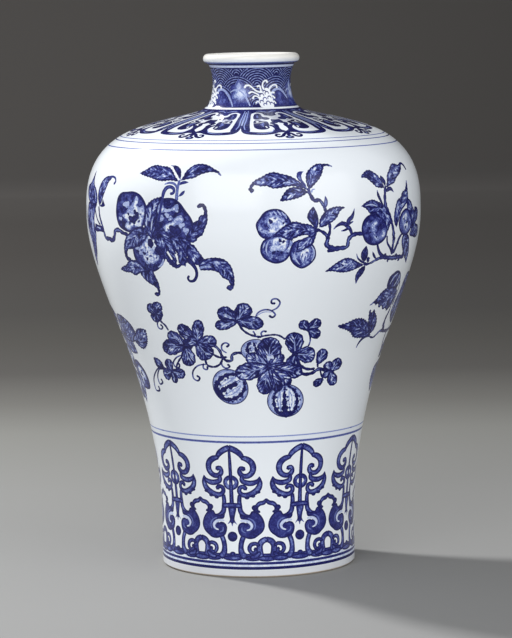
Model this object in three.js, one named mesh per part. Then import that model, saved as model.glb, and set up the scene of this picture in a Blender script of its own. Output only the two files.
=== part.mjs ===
// Meiping vase: a blue-and-white porcelain bottle with high round shoulders, a short neck and a
// small mouth. Millimetres, +Z up, origin at the centre of the foot ring's resting face.
//
// The pot is thrown in four sections that are stacked while the clay is leather hard. A layer of
// wet clay, the slip, joins each section to the one below and leaves a low ridge on the inside.
// Every piece is turned about the Z axis, so one outline and one wall give all of them.

import * as THREE from 'three'

// Outline, from the foot up. A rise is the height of a station above the one below it.
const footRadius = 62.8
const footWallHeight = 31
const flankRadius = 86.3
const flankRise = 119
const flankSlope = 68.8 // degrees up from level
const bellyRadius = 108.1
const bellyRise = 83
const shoulderRadius = 84.2
const shoulderRise = 46.8
const shoulderSlope = 28.7 // degrees up from level, leaning in
const neckRootRadius = 33.3
const neckRootRise = 14.9
const neckRootSlope = 17.1 // degrees up from level, leaning in
const neckRadius = 25.1
const neckWaistRise = 18
const neckTopRise = 12.2
const neckTopSlope = 62 // degrees up from level, leaning out

// Reach: how far the outline keeps to its direction on each side of a station.
const footReach = 53
const flankReachDown = 12
const flankReachUp = 60
const bellyReachDown = 15
const bellyReachUp = 11
const shoulderReachDown = 27
const shoulderReachUp = 16.5
const neckRootReachDown = 12.5
const neckRootReachUp = 8
const neckReachDown = 3
const neckReachUp = 6
const neckTopReach = 2.5

// Rolled lip.
const lipRadius = 31.1
const lipRollRadius = 3.1

// Wall thickness, square to the outline.
const footWall = 7
const flankWall = 5.2
const bellyWall = 4.5
const shoulderWall = 4.6
const neckWall = 4

// Foot ring and floor.
const footBevel = 1.6
const ringWidth = 7.5
const ringInnerBevel = 1
const ringLean = 2.5
const recessDepth = 8.5
const recessFillet = 2.5
const floorThickness = 7.5
const floorFillet = 16

// Joints between the sections.
const lowerJointHeight = 122
const upperJointHeight = 204
const neckJointRise = 3.2 // above the neck root
const slipThickness = 1.2
const slipRidge = 1.4

// Fineness of the curves.
const turns = 64
const flankSteps = 6
const bellySteps = 5
const shoulderSteps = 7
const rootSteps = 4
const neckSteps = 4
const neckTopSteps = 3
const lipSteps = 9
const filletSteps = 4

const glaze = '#e9edf1'
const cobalt = '#33407f'
const slipColour = '#e4e1da'

const stationHeights = [footWallHeight]
for (const rise of [flankRise, bellyRise, shoulderRise, neckRootRise, neckWaistRise, neckTopRise]) {
  stationHeights.push(stationHeights.at(-1) + rise)
}
const [footTop, flankHeight, bellyHeight, shoulderHeight, neckRootHeight, neckWaistHeight,
  neckTopHeight] = stationHeights
const neckJointHeight = neckRootHeight + neckJointRise
const neckTopRadius = lipRadius - lipRollRadius
const lipCentreHeight = neckTopHeight + lipRollRadius

// The steps of a station are those of the curve that rises to it.
const stations = [
  { radius: footRadius, height: footTop, heading: 90,
    before: 0, after: footReach, wall: footWall, steps: 0 },
  { radius: flankRadius, height: flankHeight, heading: flankSlope,
    before: flankReachDown, after: flankReachUp, wall: flankWall, steps: flankSteps },
  { radius: bellyRadius, height: bellyHeight, heading: 90,
    before: bellyReachDown, after: bellyReachUp, wall: bellyWall, steps: bellySteps },
  { radius: shoulderRadius, height: shoulderHeight, heading: 180 - shoulderSlope,
    before: shoulderReachDown, after: shoulderReachUp, wall: shoulderWall, steps: shoulderSteps },
  { radius: neckRootRadius, height: neckRootHeight, heading: 180 - neckRootSlope,
    before: neckRootReachDown, after: neckRootReachUp, wall: shoulderWall, steps: rootSteps },
  { radius: neckRadius, height: neckWaistHeight, heading: 90,
    before: neckReachDown, after: neckReachUp, wall: neckWall, steps: neckSteps },
  { radius: neckTopRadius, height: neckTopHeight, heading: neckTopSlope,
    before: neckTopReach, after: 0, wall: lipRollRadius, steps: neckTopSteps },
]

const point = (radius, height) => new THREE.Vector2(radius, height)

function direction(degrees) {
  const angle = THREE.MathUtils.degToRad(degrees)
  return point(Math.cos(angle), Math.sin(angle))
}

// Outer and inner faces of the wall, point by point from the foot to the top of the neck.
// The inner face lies one wall inside the outer one, and the wall changes evenly between stations.
function wallFaces() {
  const outer = []
  const inner = []
  for (let i = 0; i + 1 < stations.length; i++) {
    const [low, high] = [stations[i], stations[i + 1]]
    const start = point(low.radius, low.height)
    const end = point(high.radius, high.height)
    const curve = new THREE.CubicBezierCurve(
      start,
      start.clone().addScaledVector(direction(low.heading), low.after),
      end.clone().addScaledVector(direction(high.heading), -high.before),
      end,
    )
    for (let step = i === 0 ? 0 : 1; step <= high.steps; step++) {
      const t = step / high.steps
      const onCurve = curve.getPoint(t)
      const along = curve.getTangent(t)
      const wall = THREE.MathUtils.lerp(low.wall, high.wall, t)
      outer.push(onCurve)
      inner.push(point(onCurve.x - along.y * wall, onCurve.y + along.x * wall))
    }
  }
  return { outer, inner }
}

function radiusAt(face, height) {
  const above = face.findIndex((p) => p.y >= height)
  const [low, high] = [face[above - 1], face[above]]
  return THREE.MathUtils.mapLinear(height, low.y, high.y, low.x, high.x)
}

// The stretch of a face between two heights, with its ends cut level.
function stretch(face, bottom, top) {
  const between = face.filter((p) => p.y > bottom && p.y < top)
  return [point(radiusAt(face, bottom), bottom), ...between, point(radiusAt(face, top), top)]
}

function arc(centre, radius, fromDegrees, toDegrees, steps) {
  const points = []
  for (let step = 0; step <= steps; step++) {
    const turn = THREE.MathUtils.lerp(fromDegrees, toDegrees, step / steps)
    points.push(centre.clone().addScaledVector(direction(turn), radius))
  }
  return points
}

// Turns a profile of (radius, height) points about the Z axis.
function turned(name, profile, colour, roughness) {
  const geometry = new THREE.LatheGeometry(profile, turns)
  geometry.rotateX(Math.PI / 2)
  const material = new THREE.MeshStandardMaterial({ color: colour, roughness, metalness: 0 })
  const mesh = new THREE.Mesh(geometry, material)
  mesh.name = name
  return mesh
}

const closed = (profile) => [...profile, profile[0].clone()]

const { outer, inner } = wallFaces()

// Foot: the resting ring, the recess under the floor, the straight foot wall and the lower flank.
function footSection() {
  const ringOuter = footRadius - footBevel
  const ringInner = footRadius - ringWidth - footBevel
  const recessRadius = ringInner - ringInnerBevel - ringLean
  const floorTop = recessDepth + floorThickness
  const insideFoot = footRadius - footWall
  const profile = [
    point(0, recessDepth),
    ...arc(point(recessRadius - recessFillet, recessDepth - recessFillet), recessFillet, 90, 0, filletSteps),
    point(ringInner - ringInnerBevel, ringInnerBevel),
    point(ringInner, 0),
    point(ringOuter, 0),
    point(footRadius, footBevel),
    ...outer.filter((p) => p.y < lowerJointHeight),
    point(radiusAt(outer, lowerJointHeight), lowerJointHeight),
    point(radiusAt(inner, lowerJointHeight), lowerJointHeight),
    ...inner.filter((p) => p.y < lowerJointHeight && p.y > floorTop + floorFillet).reverse(),
    ...arc(point(insideFoot - floorFillet, floorTop + floorFillet), floorFillet, 0, -90, filletSteps + 2),
    point(0, floorTop),
  ]
  return turned('foot_section', profile, glaze, 0.15)
}

function bodySection(name, bottom, top) {
  const profile = [...stretch(outer, bottom, top), ...stretch(inner, bottom, top).reverse()]
  return turned(name, closed(profile), glaze, 0.12)
}

// Neck with the rolled lip. The roll is a full round bead that overhangs the neck.
function mouthAndNeck() {
  const bottom = neckJointHeight + slipThickness
  const lipCentre = point(neckTopRadius, lipCentreHeight)
  const boreTop = inner.filter((p) => p.y > bottom && p.y < lipCentreHeight)
  const profile = [
    point(radiusAt(outer, bottom), bottom),
    ...outer.filter((p) => p.y > bottom && p.y < neckTopHeight),
    ...arc(lipCentre, lipRollRadius, -90, 180, lipSteps),
    ...boreTop.reverse(),
    point(radiusAt(inner, bottom), bottom),
  ]
  return turned('mouth_and_neck', closed(profile), cobalt, 0.12)
}

// A layer of slip between two sections, flush outside, with a rounded ridge inside.
function slipJoint(name, bottom) {
  const top = bottom + slipThickness
  const middle = bottom + slipThickness / 2
  const insideLow = radiusAt(inner, bottom)
  const insideHigh = radiusAt(inner, top)
  const ridge = new THREE.EllipseCurve(
    (insideLow + insideHigh) / 2, middle, slipRidge, slipThickness / 2, Math.PI / 2, 3 * Math.PI / 2)
  const profile = [
    point(radiusAt(outer, bottom), bottom),
    point(radiusAt(outer, top), top),
    point(insideHigh, top),
    ...ridge.getPoints(filletSteps).slice(1, -1),
    point(insideLow, bottom),
  ]
  return turned(name, closed(profile), slipColour, 0.5)
}

const vase = new THREE.Group()
vase.name = 'meiping_vase'
vase.add(
  footSection(),
  slipJoint('lower_slip_joint', lowerJointHeight),
  bodySection('belly_section', lowerJointHeight + slipThickness, upperJointHeight),
  slipJoint('upper_slip_joint', upperJointHeight),
  bodySection('shoulder_section', upperJointHeight + slipThickness, neckJointHeight),
  slipJoint('neck_slip_joint', neckJointHeight),
  mouthAndNeck(),
)

export default vase
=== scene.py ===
import bpy
import math
import numpy as np
from mathutils import Matrix, Vector, kdtree
from mathutils.geometry import delaunay_2d_cdt


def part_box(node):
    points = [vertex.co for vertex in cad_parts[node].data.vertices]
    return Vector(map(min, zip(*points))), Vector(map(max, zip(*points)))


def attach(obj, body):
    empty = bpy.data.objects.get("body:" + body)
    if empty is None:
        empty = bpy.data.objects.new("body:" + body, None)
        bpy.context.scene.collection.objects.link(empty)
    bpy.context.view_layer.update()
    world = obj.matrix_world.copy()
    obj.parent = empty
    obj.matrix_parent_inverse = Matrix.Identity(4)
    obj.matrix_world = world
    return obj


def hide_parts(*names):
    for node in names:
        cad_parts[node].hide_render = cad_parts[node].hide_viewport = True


# A blue-and-white meiping. The outside is one skin of fine triangles that carries the brushwork:
# each brush mark is an outline laid on the unrolled pot in millimetres, and the skin is cut along it.

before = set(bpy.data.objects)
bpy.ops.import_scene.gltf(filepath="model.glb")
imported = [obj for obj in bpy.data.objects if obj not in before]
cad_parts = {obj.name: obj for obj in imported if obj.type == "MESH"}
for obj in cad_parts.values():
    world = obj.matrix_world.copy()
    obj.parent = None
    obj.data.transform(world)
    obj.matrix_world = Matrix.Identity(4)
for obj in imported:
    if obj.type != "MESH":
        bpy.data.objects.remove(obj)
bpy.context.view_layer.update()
mm = 0.001

# The outline of the pot: radius, height, heading in degrees, reach before and after the point.
pot = {
    "outline": [
        (62.8, 31.0, 90, 0, 53),
        (86.3, 150.0, 68.8, 12, 60),
        (108.1, 233.0, 90, 15, 11),
        (84.2, 279.8, 151.3, 27, 16.5),
        (33.3, 294.7, 162.9, 12.5, 8),
        (25.1, 312.7, 90, 3, 6),
        (28.0, 324.9, 62, 2.5, 0),
    ],
    "walls": [7.0, 5.2, 4.5, 4.6, 4.6, 4.0, 3.1],
    "footBevel": 1.6,
    "lipRoll": 3.1,
    "curveSteps": 60,
    "footSteps": 15,
}


def heading(degrees):
    turn = math.radians(degrees)
    return np.array([math.cos(turn), math.sin(turn)])


def wallFaces():
    # The outer face and, one wall inside it, the inner one.
    points, walls, count = pot["outline"], pot["walls"], pot["curveSteps"]
    outer, inner = [], []
    t = np.linspace(0, 1, count)[:, None]
    for i in range(len(points) - 1):
        low, high = points[i], points[i + 1]
        a, d = np.array(low[:2]), np.array(high[:2])
        b = a + heading(low[2]) * low[4]
        c = d - heading(high[2]) * high[3]
        curve = (1 - t) ** 3 * a + 3 * (1 - t) ** 2 * t * b + 3 * (1 - t) * t * t * c + t ** 3 * d
        along = 3 * (1 - t) ** 2 * (b - a) + 6 * (1 - t) * t * (c - b) + 3 * t * t * (d - c)
        along /= np.linalg.norm(along, axis=1)[:, None]
        wall = walls[i] + (walls[i + 1] - walls[i]) * t
        first = 0 if i == 0 else 1
        outer.append(curve[first:])
        inner.append((curve + np.stack([-along[:, 1], along[:, 0]], 1) * wall)[first:])
    return np.concatenate(outer), np.concatenate(inner)


outerFace, innerFace = wallFaces()
footRadius = pot["outline"][0][0]
bevel = pot["footBevel"]
footWall = np.linspace(bevel, outerFace[0][1], pot["footSteps"], endpoint=False)
outerFace = np.concatenate([np.stack([np.full(len(footWall), footRadius), footWall], 1), outerFace])
steps = np.linalg.norm(np.diff(outerFace, axis=0), axis=1)
# How far up the wall each point of the outline lies, from the resting face over the bevel, in mm.
lengthUp = np.concatenate([[0], np.cumsum(steps)]) + bevel * math.sqrt(2)


def radiusAt(up):
    return np.interp(up, lengthUp, outerFace[:, 0])


def heightAt(up):
    return np.interp(up, lengthUp, outerFace[:, 1])


def upAt(height):
    return float(np.interp(height, outerFace[:, 1], lengthUp))


print("outline ready:", round(float(lengthUp[-1]), 1), "mm from foot to lip")

# Brushwork. An ink is the strength of its wash, the strength at its edge, the width of that edge
# in mm and how uneven it is.
inks = {
    "line": (0.80, 0.9, 0.5, 0.2),
    "dark": (0.88, 1.0, 0.7, 0.4),
    "leaf": (0.69, 1.0, 0.85, 0.85),
    "fruit": (0.82, 1.0, 1.2, 0.75),
    "patch": (0.14, 0.45, 0.55, 0.9),
    "murk": (0.28, 0.6, 0.8, 1.1),
    "mid": (0.62, 0.84, 0.7, 0.5),
    "soft": (0.42, 0.6, 0.7, 0.5),
    "pale": (0.24, 0.36, 0.6, 0.4),
    "faint": (0.05, 0.06, 0.5, 0.1),
    "mist": (0.12, 0.2, 0.6, 0.3),
    "slope": (0.72, 0.88, 1.4, 0.7),
    # a faint blue wash, partly painted shade, for the band just above the foot
    "shade": (0.07, 0.08, 0.5, 0.05),
    "band": (0.62, 1.0, 0.8, 0.6),
    "peach": (0.64, 1.0, 1.1, 0.9),
    "comma": (0.8, 1.0, 0.8, 0.4),
    "wave": (0.6, 0.64, 0.5, 1.0),
    "ground": (1.0, 1.0, 0.5, 0.1),
    "twig": (0.86, 1.0, 0.6, 0.4),
    "rind": (0.15, 0.42, 1.8, 0.7),
    "bare": (0.0, 0.0, 0.5, 0.0),
}
marks = []
panel = {"turn": 0.0, "up": 0.0, "degrees": False, "weight": 1.0, "wash": 1.0}
unroll = 85.0  # mm of plan for each radian round the pot
halfTurn = math.pi * unroll  # from the front to the cut at the back


def smooth(points, step=0.9):
    # A curve through the points, with a point at about every step.
    p = np.array(points, float)
    gaps = np.linalg.norm(np.diff(p, axis=0), axis=1)
    if len(p) == 2:
        count = max(2, int(gaps[0] / step) + 2)
        return p[0] + (p[1] - p[0]) * np.linspace(0, 1, count)[:, None]
    slopes = np.diff(p, axis=0) / gaps[:, None]
    inside = (slopes[:-1] * gaps[1:, None] + slopes[1:] * gaps[:-1, None]) / (gaps[:-1] + gaps[1:])[:, None]
    tangents = np.vstack([1.5 * slopes[0] - 0.5 * inside[0], inside, 1.5 * slopes[-1] - 0.5 * inside[-1]])
    out = [p[:1]]
    for i, gap in enumerate(gaps):
        count = max(2, int(gap / step) + 1)
        t = np.linspace(0, 1, count + 1)[1:, None]
        h = (2 * t ** 3 - 3 * t ** 2 + 1) * p[i] + (3 * t ** 2 - 2 * t ** 3) * p[i + 1]
        h += ((t ** 3 - 2 * t ** 2 + t) * tangents[i] + (t ** 3 - t ** 2) * tangents[i + 1]) * gap
        out.append(h)
    return np.vstack(out)


def lay(points):
    # From the panel's own places to the plan of the whole pot.
    p = np.atleast_2d(np.array(points, float))
    up = panel["up"] + p[:, 1]
    if panel["degrees"]:
        turn = panel["turn"] + p[:, 0]
    else:
        turn = panel["turn"] + np.degrees(p[:, 0] / radiusAt(up))
    return np.stack([np.radians(turn) * unroll, up], 1)


def inkOf(name):
    wash, *rest = inks[name]
    return (wash * panel["wash"], *rest)


def turnsLeft(loop):
    x, y = loop[:, 0], loop[:, 1]
    return np.sum(x * np.roll(y, -1) - np.roll(x, -1) * y) > 0


def turnedLeft(loop):
    return loop if turnsLeft(loop) else loop[::-1]


def mark(loop, ink, spine=None, veins=0.0, inner=()):
    marks.append({
        "loop": turnedLeft(lay(loop)), "ink": inkOf(ink), "veins": veins,
        "spine": None if spine is None else lay(spine),
        "inner": [lay(line) for line in inner],
    })


def normals(line):
    along = np.gradient(line, axis=0)
    along /= np.maximum(np.linalg.norm(along, axis=1), 1e-9)[:, None]
    return np.stack([-along[:, 1], along[:, 0]], 1)


def stroke(points, widths, ink="line", step=0.9, knots=0.0):
    # The middle line is laid on the pot first, so the widths are true wherever it runs.
    line = lay(smooth(points, step))
    shrink = np.stack([radiusAt(line[:, 1]) / unroll, np.ones(len(line))], 1)
    real = np.cumsum(np.vstack([[0, 0], np.diff(line, axis=0) * (shrink[1:] + shrink[:-1]) / 2]), axis=0)
    run = np.concatenate([[0], np.cumsum(np.linalg.norm(np.diff(real, axis=0), axis=1))])
    widths = [widths] if isinstance(widths, (int, float)) else widths
    half = np.interp(run / run[-1], np.linspace(0, 1, len(widths)), widths) / 2 * panel["weight"]
    half *= 1 + knots * (np.sin(run * 1.45 + run[-1]) + 0.6 * np.sin(run * 3.7))  # an unsteady hand
    side = normals(real) * half[:, None] / shrink
    ends = []
    for tip, before, size, scale in ((0, 1, half[0], shrink[0]), (-1, -2, half[-1], shrink[-1])):
        out = real[tip] - real[before]
        ends.append(line[tip] + out / np.linalg.norm(out) * size * 0.7 / scale)
    marks.append({"loop": turnedLeft(np.vstack([line + side, ends[1], (line - side)[::-1], ends[0]])),
                  "ink": inkOf(ink), "veins": 0.0, "spine": None, "inner": [line]})


def strokes(lines, widths, ink):
    for line in lines:
        stroke(line, widths, ink)


def tilted(cx, cy, x, y, tilt):
    # Points set out from a middle, turned about it by the tilt.
    c, s = math.cos(math.radians(tilt)), math.sin(math.radians(tilt))
    return np.stack([cx + x * c - y * s, cy + x * s + y * c], 1)


def blob(cx, cy, rx, ry, ink="dark", tilt=0.0, wobble=0.0, lobes=5):
    count = max(12, int(2 * math.pi * max(rx, ry) / 0.9))
    t = np.linspace(0, 2 * math.pi, count, endpoint=False)
    r = 1 + wobble * np.sin(lobes * t + cx)
    mark(tilted(cx, cy, rx * r * np.cos(t), ry * r * np.sin(t), tilt), ink)


def spot(x, y, r, ink="dark"):
    # A small uneven touch of the brush.
    t = np.linspace(0, 2 * math.pi, max(14, int(9 * r)), endpoint=False)
    grow = r * (1 + 0.2 * np.sin(2 * t + x) + 0.16 * np.sin(3 * t + 2 * y) + 0.1 * np.sin(5 * t + x + y))
    mark(np.stack([x + grow * np.cos(t), y + 0.9 * grow * np.sin(t)], 1), ink)


def spots(places, ink="dark"):
    for x, y, r in places:
        spot(x, y, r, ink)


def ragged(loop, depth, pitch):
    # Pushes the outline out in small teeth.
    run = np.concatenate([[0], np.cumsum(np.linalg.norm(np.diff(loop, axis=0), axis=1))])
    tooth = np.abs((run / pitch) % 1 - 0.5) * 2
    side = normals(loop) * (-1 if turnsLeft(loop) else 1)
    return loop + side * (tooth * depth)[:, None]


def outFrom(base, points):
    # The points in order away from the base.
    near = np.linalg.norm(np.subtract(points[0], base))
    far = np.linalg.norm(np.subtract(points[-1], base))
    return list(points) if near <= far else list(points)[::-1]


def leaf(base, upper, tip, lower, ink="leaf", veins=1.0, teeth=0.4, pitch=2.4):
    # A leaf from its base to its tip, with the points of its two sides; veins follow its spine.
    top = smooth([base, *outFrom(base, upper), tip])
    low = smooth([base, *outFrom(base, lower), tip])
    loop = np.vstack([top[:-1], low[::-1][:-1]])
    t = np.linspace(0, 1, 6)
    a = top[(t * (len(top) - 1)).astype(int)]
    b = low[(t * (len(low) - 1)).astype(int)]
    spine = smooth((a + b) / 2, 1.2)
    if teeth:
        loop = ragged(loop, teeth, pitch)
    mark(loop, ink, spine=spine, veins=veins, inner=[spine])


def closed(points, ink="dark", corners=False, veins=0.0, spine=None, teeth=0.0):
    # A filled shape; with corners, its outline may turn sharply where it starts.
    p = [tuple(q) for q in points]
    if corners:
        loop = smooth(p + [p[0]])[:-1]
    else:
        wrapped = smooth(p[-2:] + p + p[:2])
        near = np.where(np.linalg.norm(wrapped - np.array(p[0], float), axis=1) < 1e-6)[0]
        loop = wrapped[near[0]:near[-1]]
    if teeth:
        loop = ragged(loop, teeth, 2.6)
    spine = None if spine is None else smooth(spine, 1.2)
    mark(loop, ink, spine=spine, veins=veins, inner=[] if spine is None else [spine])


def freeLeaf(points, spine, teeth, veins=1):
    # A leaf whose whole outline is given, with sharp turns.
    closed(points, "leaf", corners=True, veins=veins, spine=spine, teeth=teeth)


def petal(base, tip, width, ink="leaf", veins=1.2, teeth=0.35):
    # A rounded lobe that widens from its base; its midrib runs from base to tip.
    a, b = np.array(base, float), np.array(tip, float)
    size = np.linalg.norm(b - a)
    along = (b - a) / size
    aside = np.array([-along[1], along[0]])
    t = np.linspace(0, 1, max(10, int(size / 0.8)))
    swell = 0.28 + 0.72 * np.sin(t / 0.6 * math.pi / 2)
    cap = np.sqrt(np.clip(1 - ((t - 0.6) / 0.4) ** 2, 0, 1))
    grow = np.where(t < 0.6, swell, cap)
    half = width / 2 * grow * (1 + 0.05 * np.sin(t * size * 1.3 + tip[0]))
    middle = a + along * (t * size)[:, None]
    loop = np.vstack([middle + aside * half[:, None], (middle - aside * half[:, None])[::-1][1:]])
    spine = a + along * (np.linspace(0, 0.94, 8) * size)[:, None]
    mark(ragged(loop, teeth, 2.2), ink, spine=spine, veins=veins, inner=[spine])
    if ink == "leaf":
        stroke([tuple(a + along * size * 0.16), tuple(a + along * size * 0.66)], [0.8, 0.7, 0.3], "soft")


def twig(points, widths):
    # A branch: dark, with a paler streak along its middle.
    stroke(points, widths, "twig", knots=0.14)
    thick = max(widths) if isinstance(widths, (list, tuple)) else widths
    line = smooth(points, 1.0)
    size = len(line)
    for start, end in ((0.12, 0.36), (0.55, 0.84)):
        part = line[int(size * start):int(size * end):2]
        if thick >= 1.9 and len(part) > 3:
            stroke(part, [0.2, thick * 0.26, thick * 0.22, 0.2], "mid")


def both(draw):
    # Draws a thing and its mirror image about the panel's centre line.
    draw(1)
    draw(-1)


def flip(points, side):
    return [(side * x, y) for x, y in points]


# Border round the foot: nine trefoil-headed units, linked by leafy scrolls.
footBorder = {"count": 9, "firstTurn": -15.3, "up": 50.7, "weight": 1.25}


def footUnit():
    def half(side):
        stroke(flip([(0, 34.8), (3.8, 33.2), (7, 30.6), (8.6, 27.8)], side), [3.4, 3.4, 3.2, 2.2], "band")
        stroke(flip([(7.8, 28.2), (11.4, 27.2), (14, 24.8), (14.8, 21.2), (13.4, 17.8), (10.6, 16.1),
                     (7.6, 16.5), (6, 18.8), (7, 21.2), (9, 20.6)], side),
               [2.4, 3.2, 3.4, 3.4, 3.2, 3, 2.8, 2.8, 2.6, 2.6], "band")
        stroke(flip([(7.4, 16.2), (7.4, 13.2), (10.6, 11.6), (14.6, 11.7), (17.4, 13.2), (18.6, 15.6)], side),
               [2, 2.8, 3, 3, 2.4, 0.8], "band")
        stroke(flip([(18.7, 15), (18.6, 10.8), (17, 7.4), (13.8, 4.9), (10, 3.6), (6.8, 4), (5.2, 6.2),
                     (5.9, 8.6), (8.2, 9), (9.4, 7.6)], side),
               [0.8, 2.6, 3.2, 3.3, 3.2, 2.9, 2.6, 2.4, 2.3, 2.4], "band")
        for x, y in ((17.2, 5.6), (13.8, 3), (10, 1.9)):
            blob(side * x, y, 1.6, 1.1, "band")
        stroke(flip([(5.4, 3.4), (5, 0.4), (5.2, -3.6), (5.6, -6.8), (8.2, -10.2), (12.4, -11.4)], side),
               [2.2, 2.4, 2.6, 2.8, 3.2, 3.6], "band")
        stroke(flip([(7.2, -23.2), (5.8, -27), (5.4, -30.8), (6, -34.2), (8.2, -36.4)], side),
               [2.8, 2.8, 2.8, 3.4, 3.6], "band")
        comma = [(5, -8.2), (8.2, -9.4), (11.2, -9), (12.6, -6.9), (15.5, -7), (18.6, -9.7), (20.4, -13.1),
                 (20.9, -16.8), (19.4, -20.4), (16.6, -22.8), (14.4, -24.3), (11.2, -24.9), (7.8, -24),
                 (5, -22.6), (3.7, -19.8), (3.6, -16.8), (5, -14.7), (7.4, -14), (9.2, -14.6),
                 (8.4, -12.8), (5.6, -11.8)]
        closed(flip(comma, side), "comma")
        stroke(flip([(9.5, -19.2), (11.8, -18.3), (12.6, -16.4), (11.4, -14.4), (8.8, -13.2), (5.6, -13.2)],
                    side), [0.6, 1, 1.5, 1.5, 1.3, 1.1], "mist")
        stroke(flip([(8.4, -20.8), (6.4, -19.6), (6.2, -17.4)], side), [0.4, 0.8, 0.4], "mid")
        stroke(flip([(14.2, -18.6), (14.8, -16), (13.4, -13), (10.4, -11.4)], side), [0.4, 0.8, 0.4], "mid")
        blob(side * 13.2, -37.2, 5.6, 2, "band")
    both(half)
    blob(0, 11.7, 5.2, 5, "band")
    blob(0, 11.8, 2.4, 1.8, "bare")
    stroke([(0, 33.8), (0, 25), (0, 13)], [1.4, 1.9, 1.9], "band")
    stroke([(0, 14), (0, 4), (0, -2)], [1.8, 2.2, 2.4], "band")
    stroke([(-5.8, -3.5), (0, -3.1), (5.8, -3.5)], [2.6, 2.8, 2.6], "band")
    closed([(-2.7, -4.4), (2.7, -4.4), (1.9, -10), (1.6, -12.6), (3.1, -15.6), (1, -14.4), (0, -16.9),
            (-1, -14.4), (-3.1, -15.6), (-1.6, -12.6), (-1.9, -10)], "band", corners=True)
    blob(0, -23.4, 3.3, 3.3)
    blob(0, -34.6, 2, 1.6, "band")
    blob(0, -37.2, 6.6, 1.9, "band")


def footLink():
    def half(side):
        stroke(flip([(0, 1), (1.6, -1.2), (4.4, -2), (6.2, -4.2), (5.8, -6.6), (4.2, -7.4)], side),
               [1.2, 2.4, 2.5, 2.2, 1.8, 1.2], "band")
        blob(side * 7.3, -4.6, 2.1, 1.9, "dark")
        stroke(flip([(7.6, -5.4), (7.4, -8.2)], side), [1.6, 1], "band")
        stroke(flip([(0, -25.1), (2.9, -26.3), (4.5, -28.7), (4.5, -32.2), (3.9, -36.4)], side),
               [3, 3.3, 3.3, 3.3, 3.8], "band")
        stroke(flip([(4.8, -29), (7.2, -27.8), (10.2, -28.7), (11.1, -31.4), (9.3, -33.8), (7, -32.9),
                     (7.4, -30.9)], side), [1.8, 2.1, 2.3, 2.3, 2.1, 2, 2.1], "band")
        stroke(flip([(4.6, -33.5), (7, -36), (10.4, -36.6)], side), [2.2, 2.8, 2.4], "band")
    both(half)
    blob(0, -37.5, 6.2, 2, "band")


def paintFoot():
    pitch = 360 / footBorder["count"]
    panel.update(up=footBorder["up"], degrees=False, weight=footBorder["weight"])
    for k in range(footBorder["count"]):
        panel["turn"] = footBorder["firstTurn"] + pitch * k
        footUnit()
        panel["turn"] += pitch / 2
        footLink()
    panel["weight"] = 1.0


# Collar of eight cloud-headed lappets on the shoulder, laid in degrees round and mm up the wall.
collar = {"count": 8, "firstTurn": 16.5, "weight": 1.06, "wash": 1.15}


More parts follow.
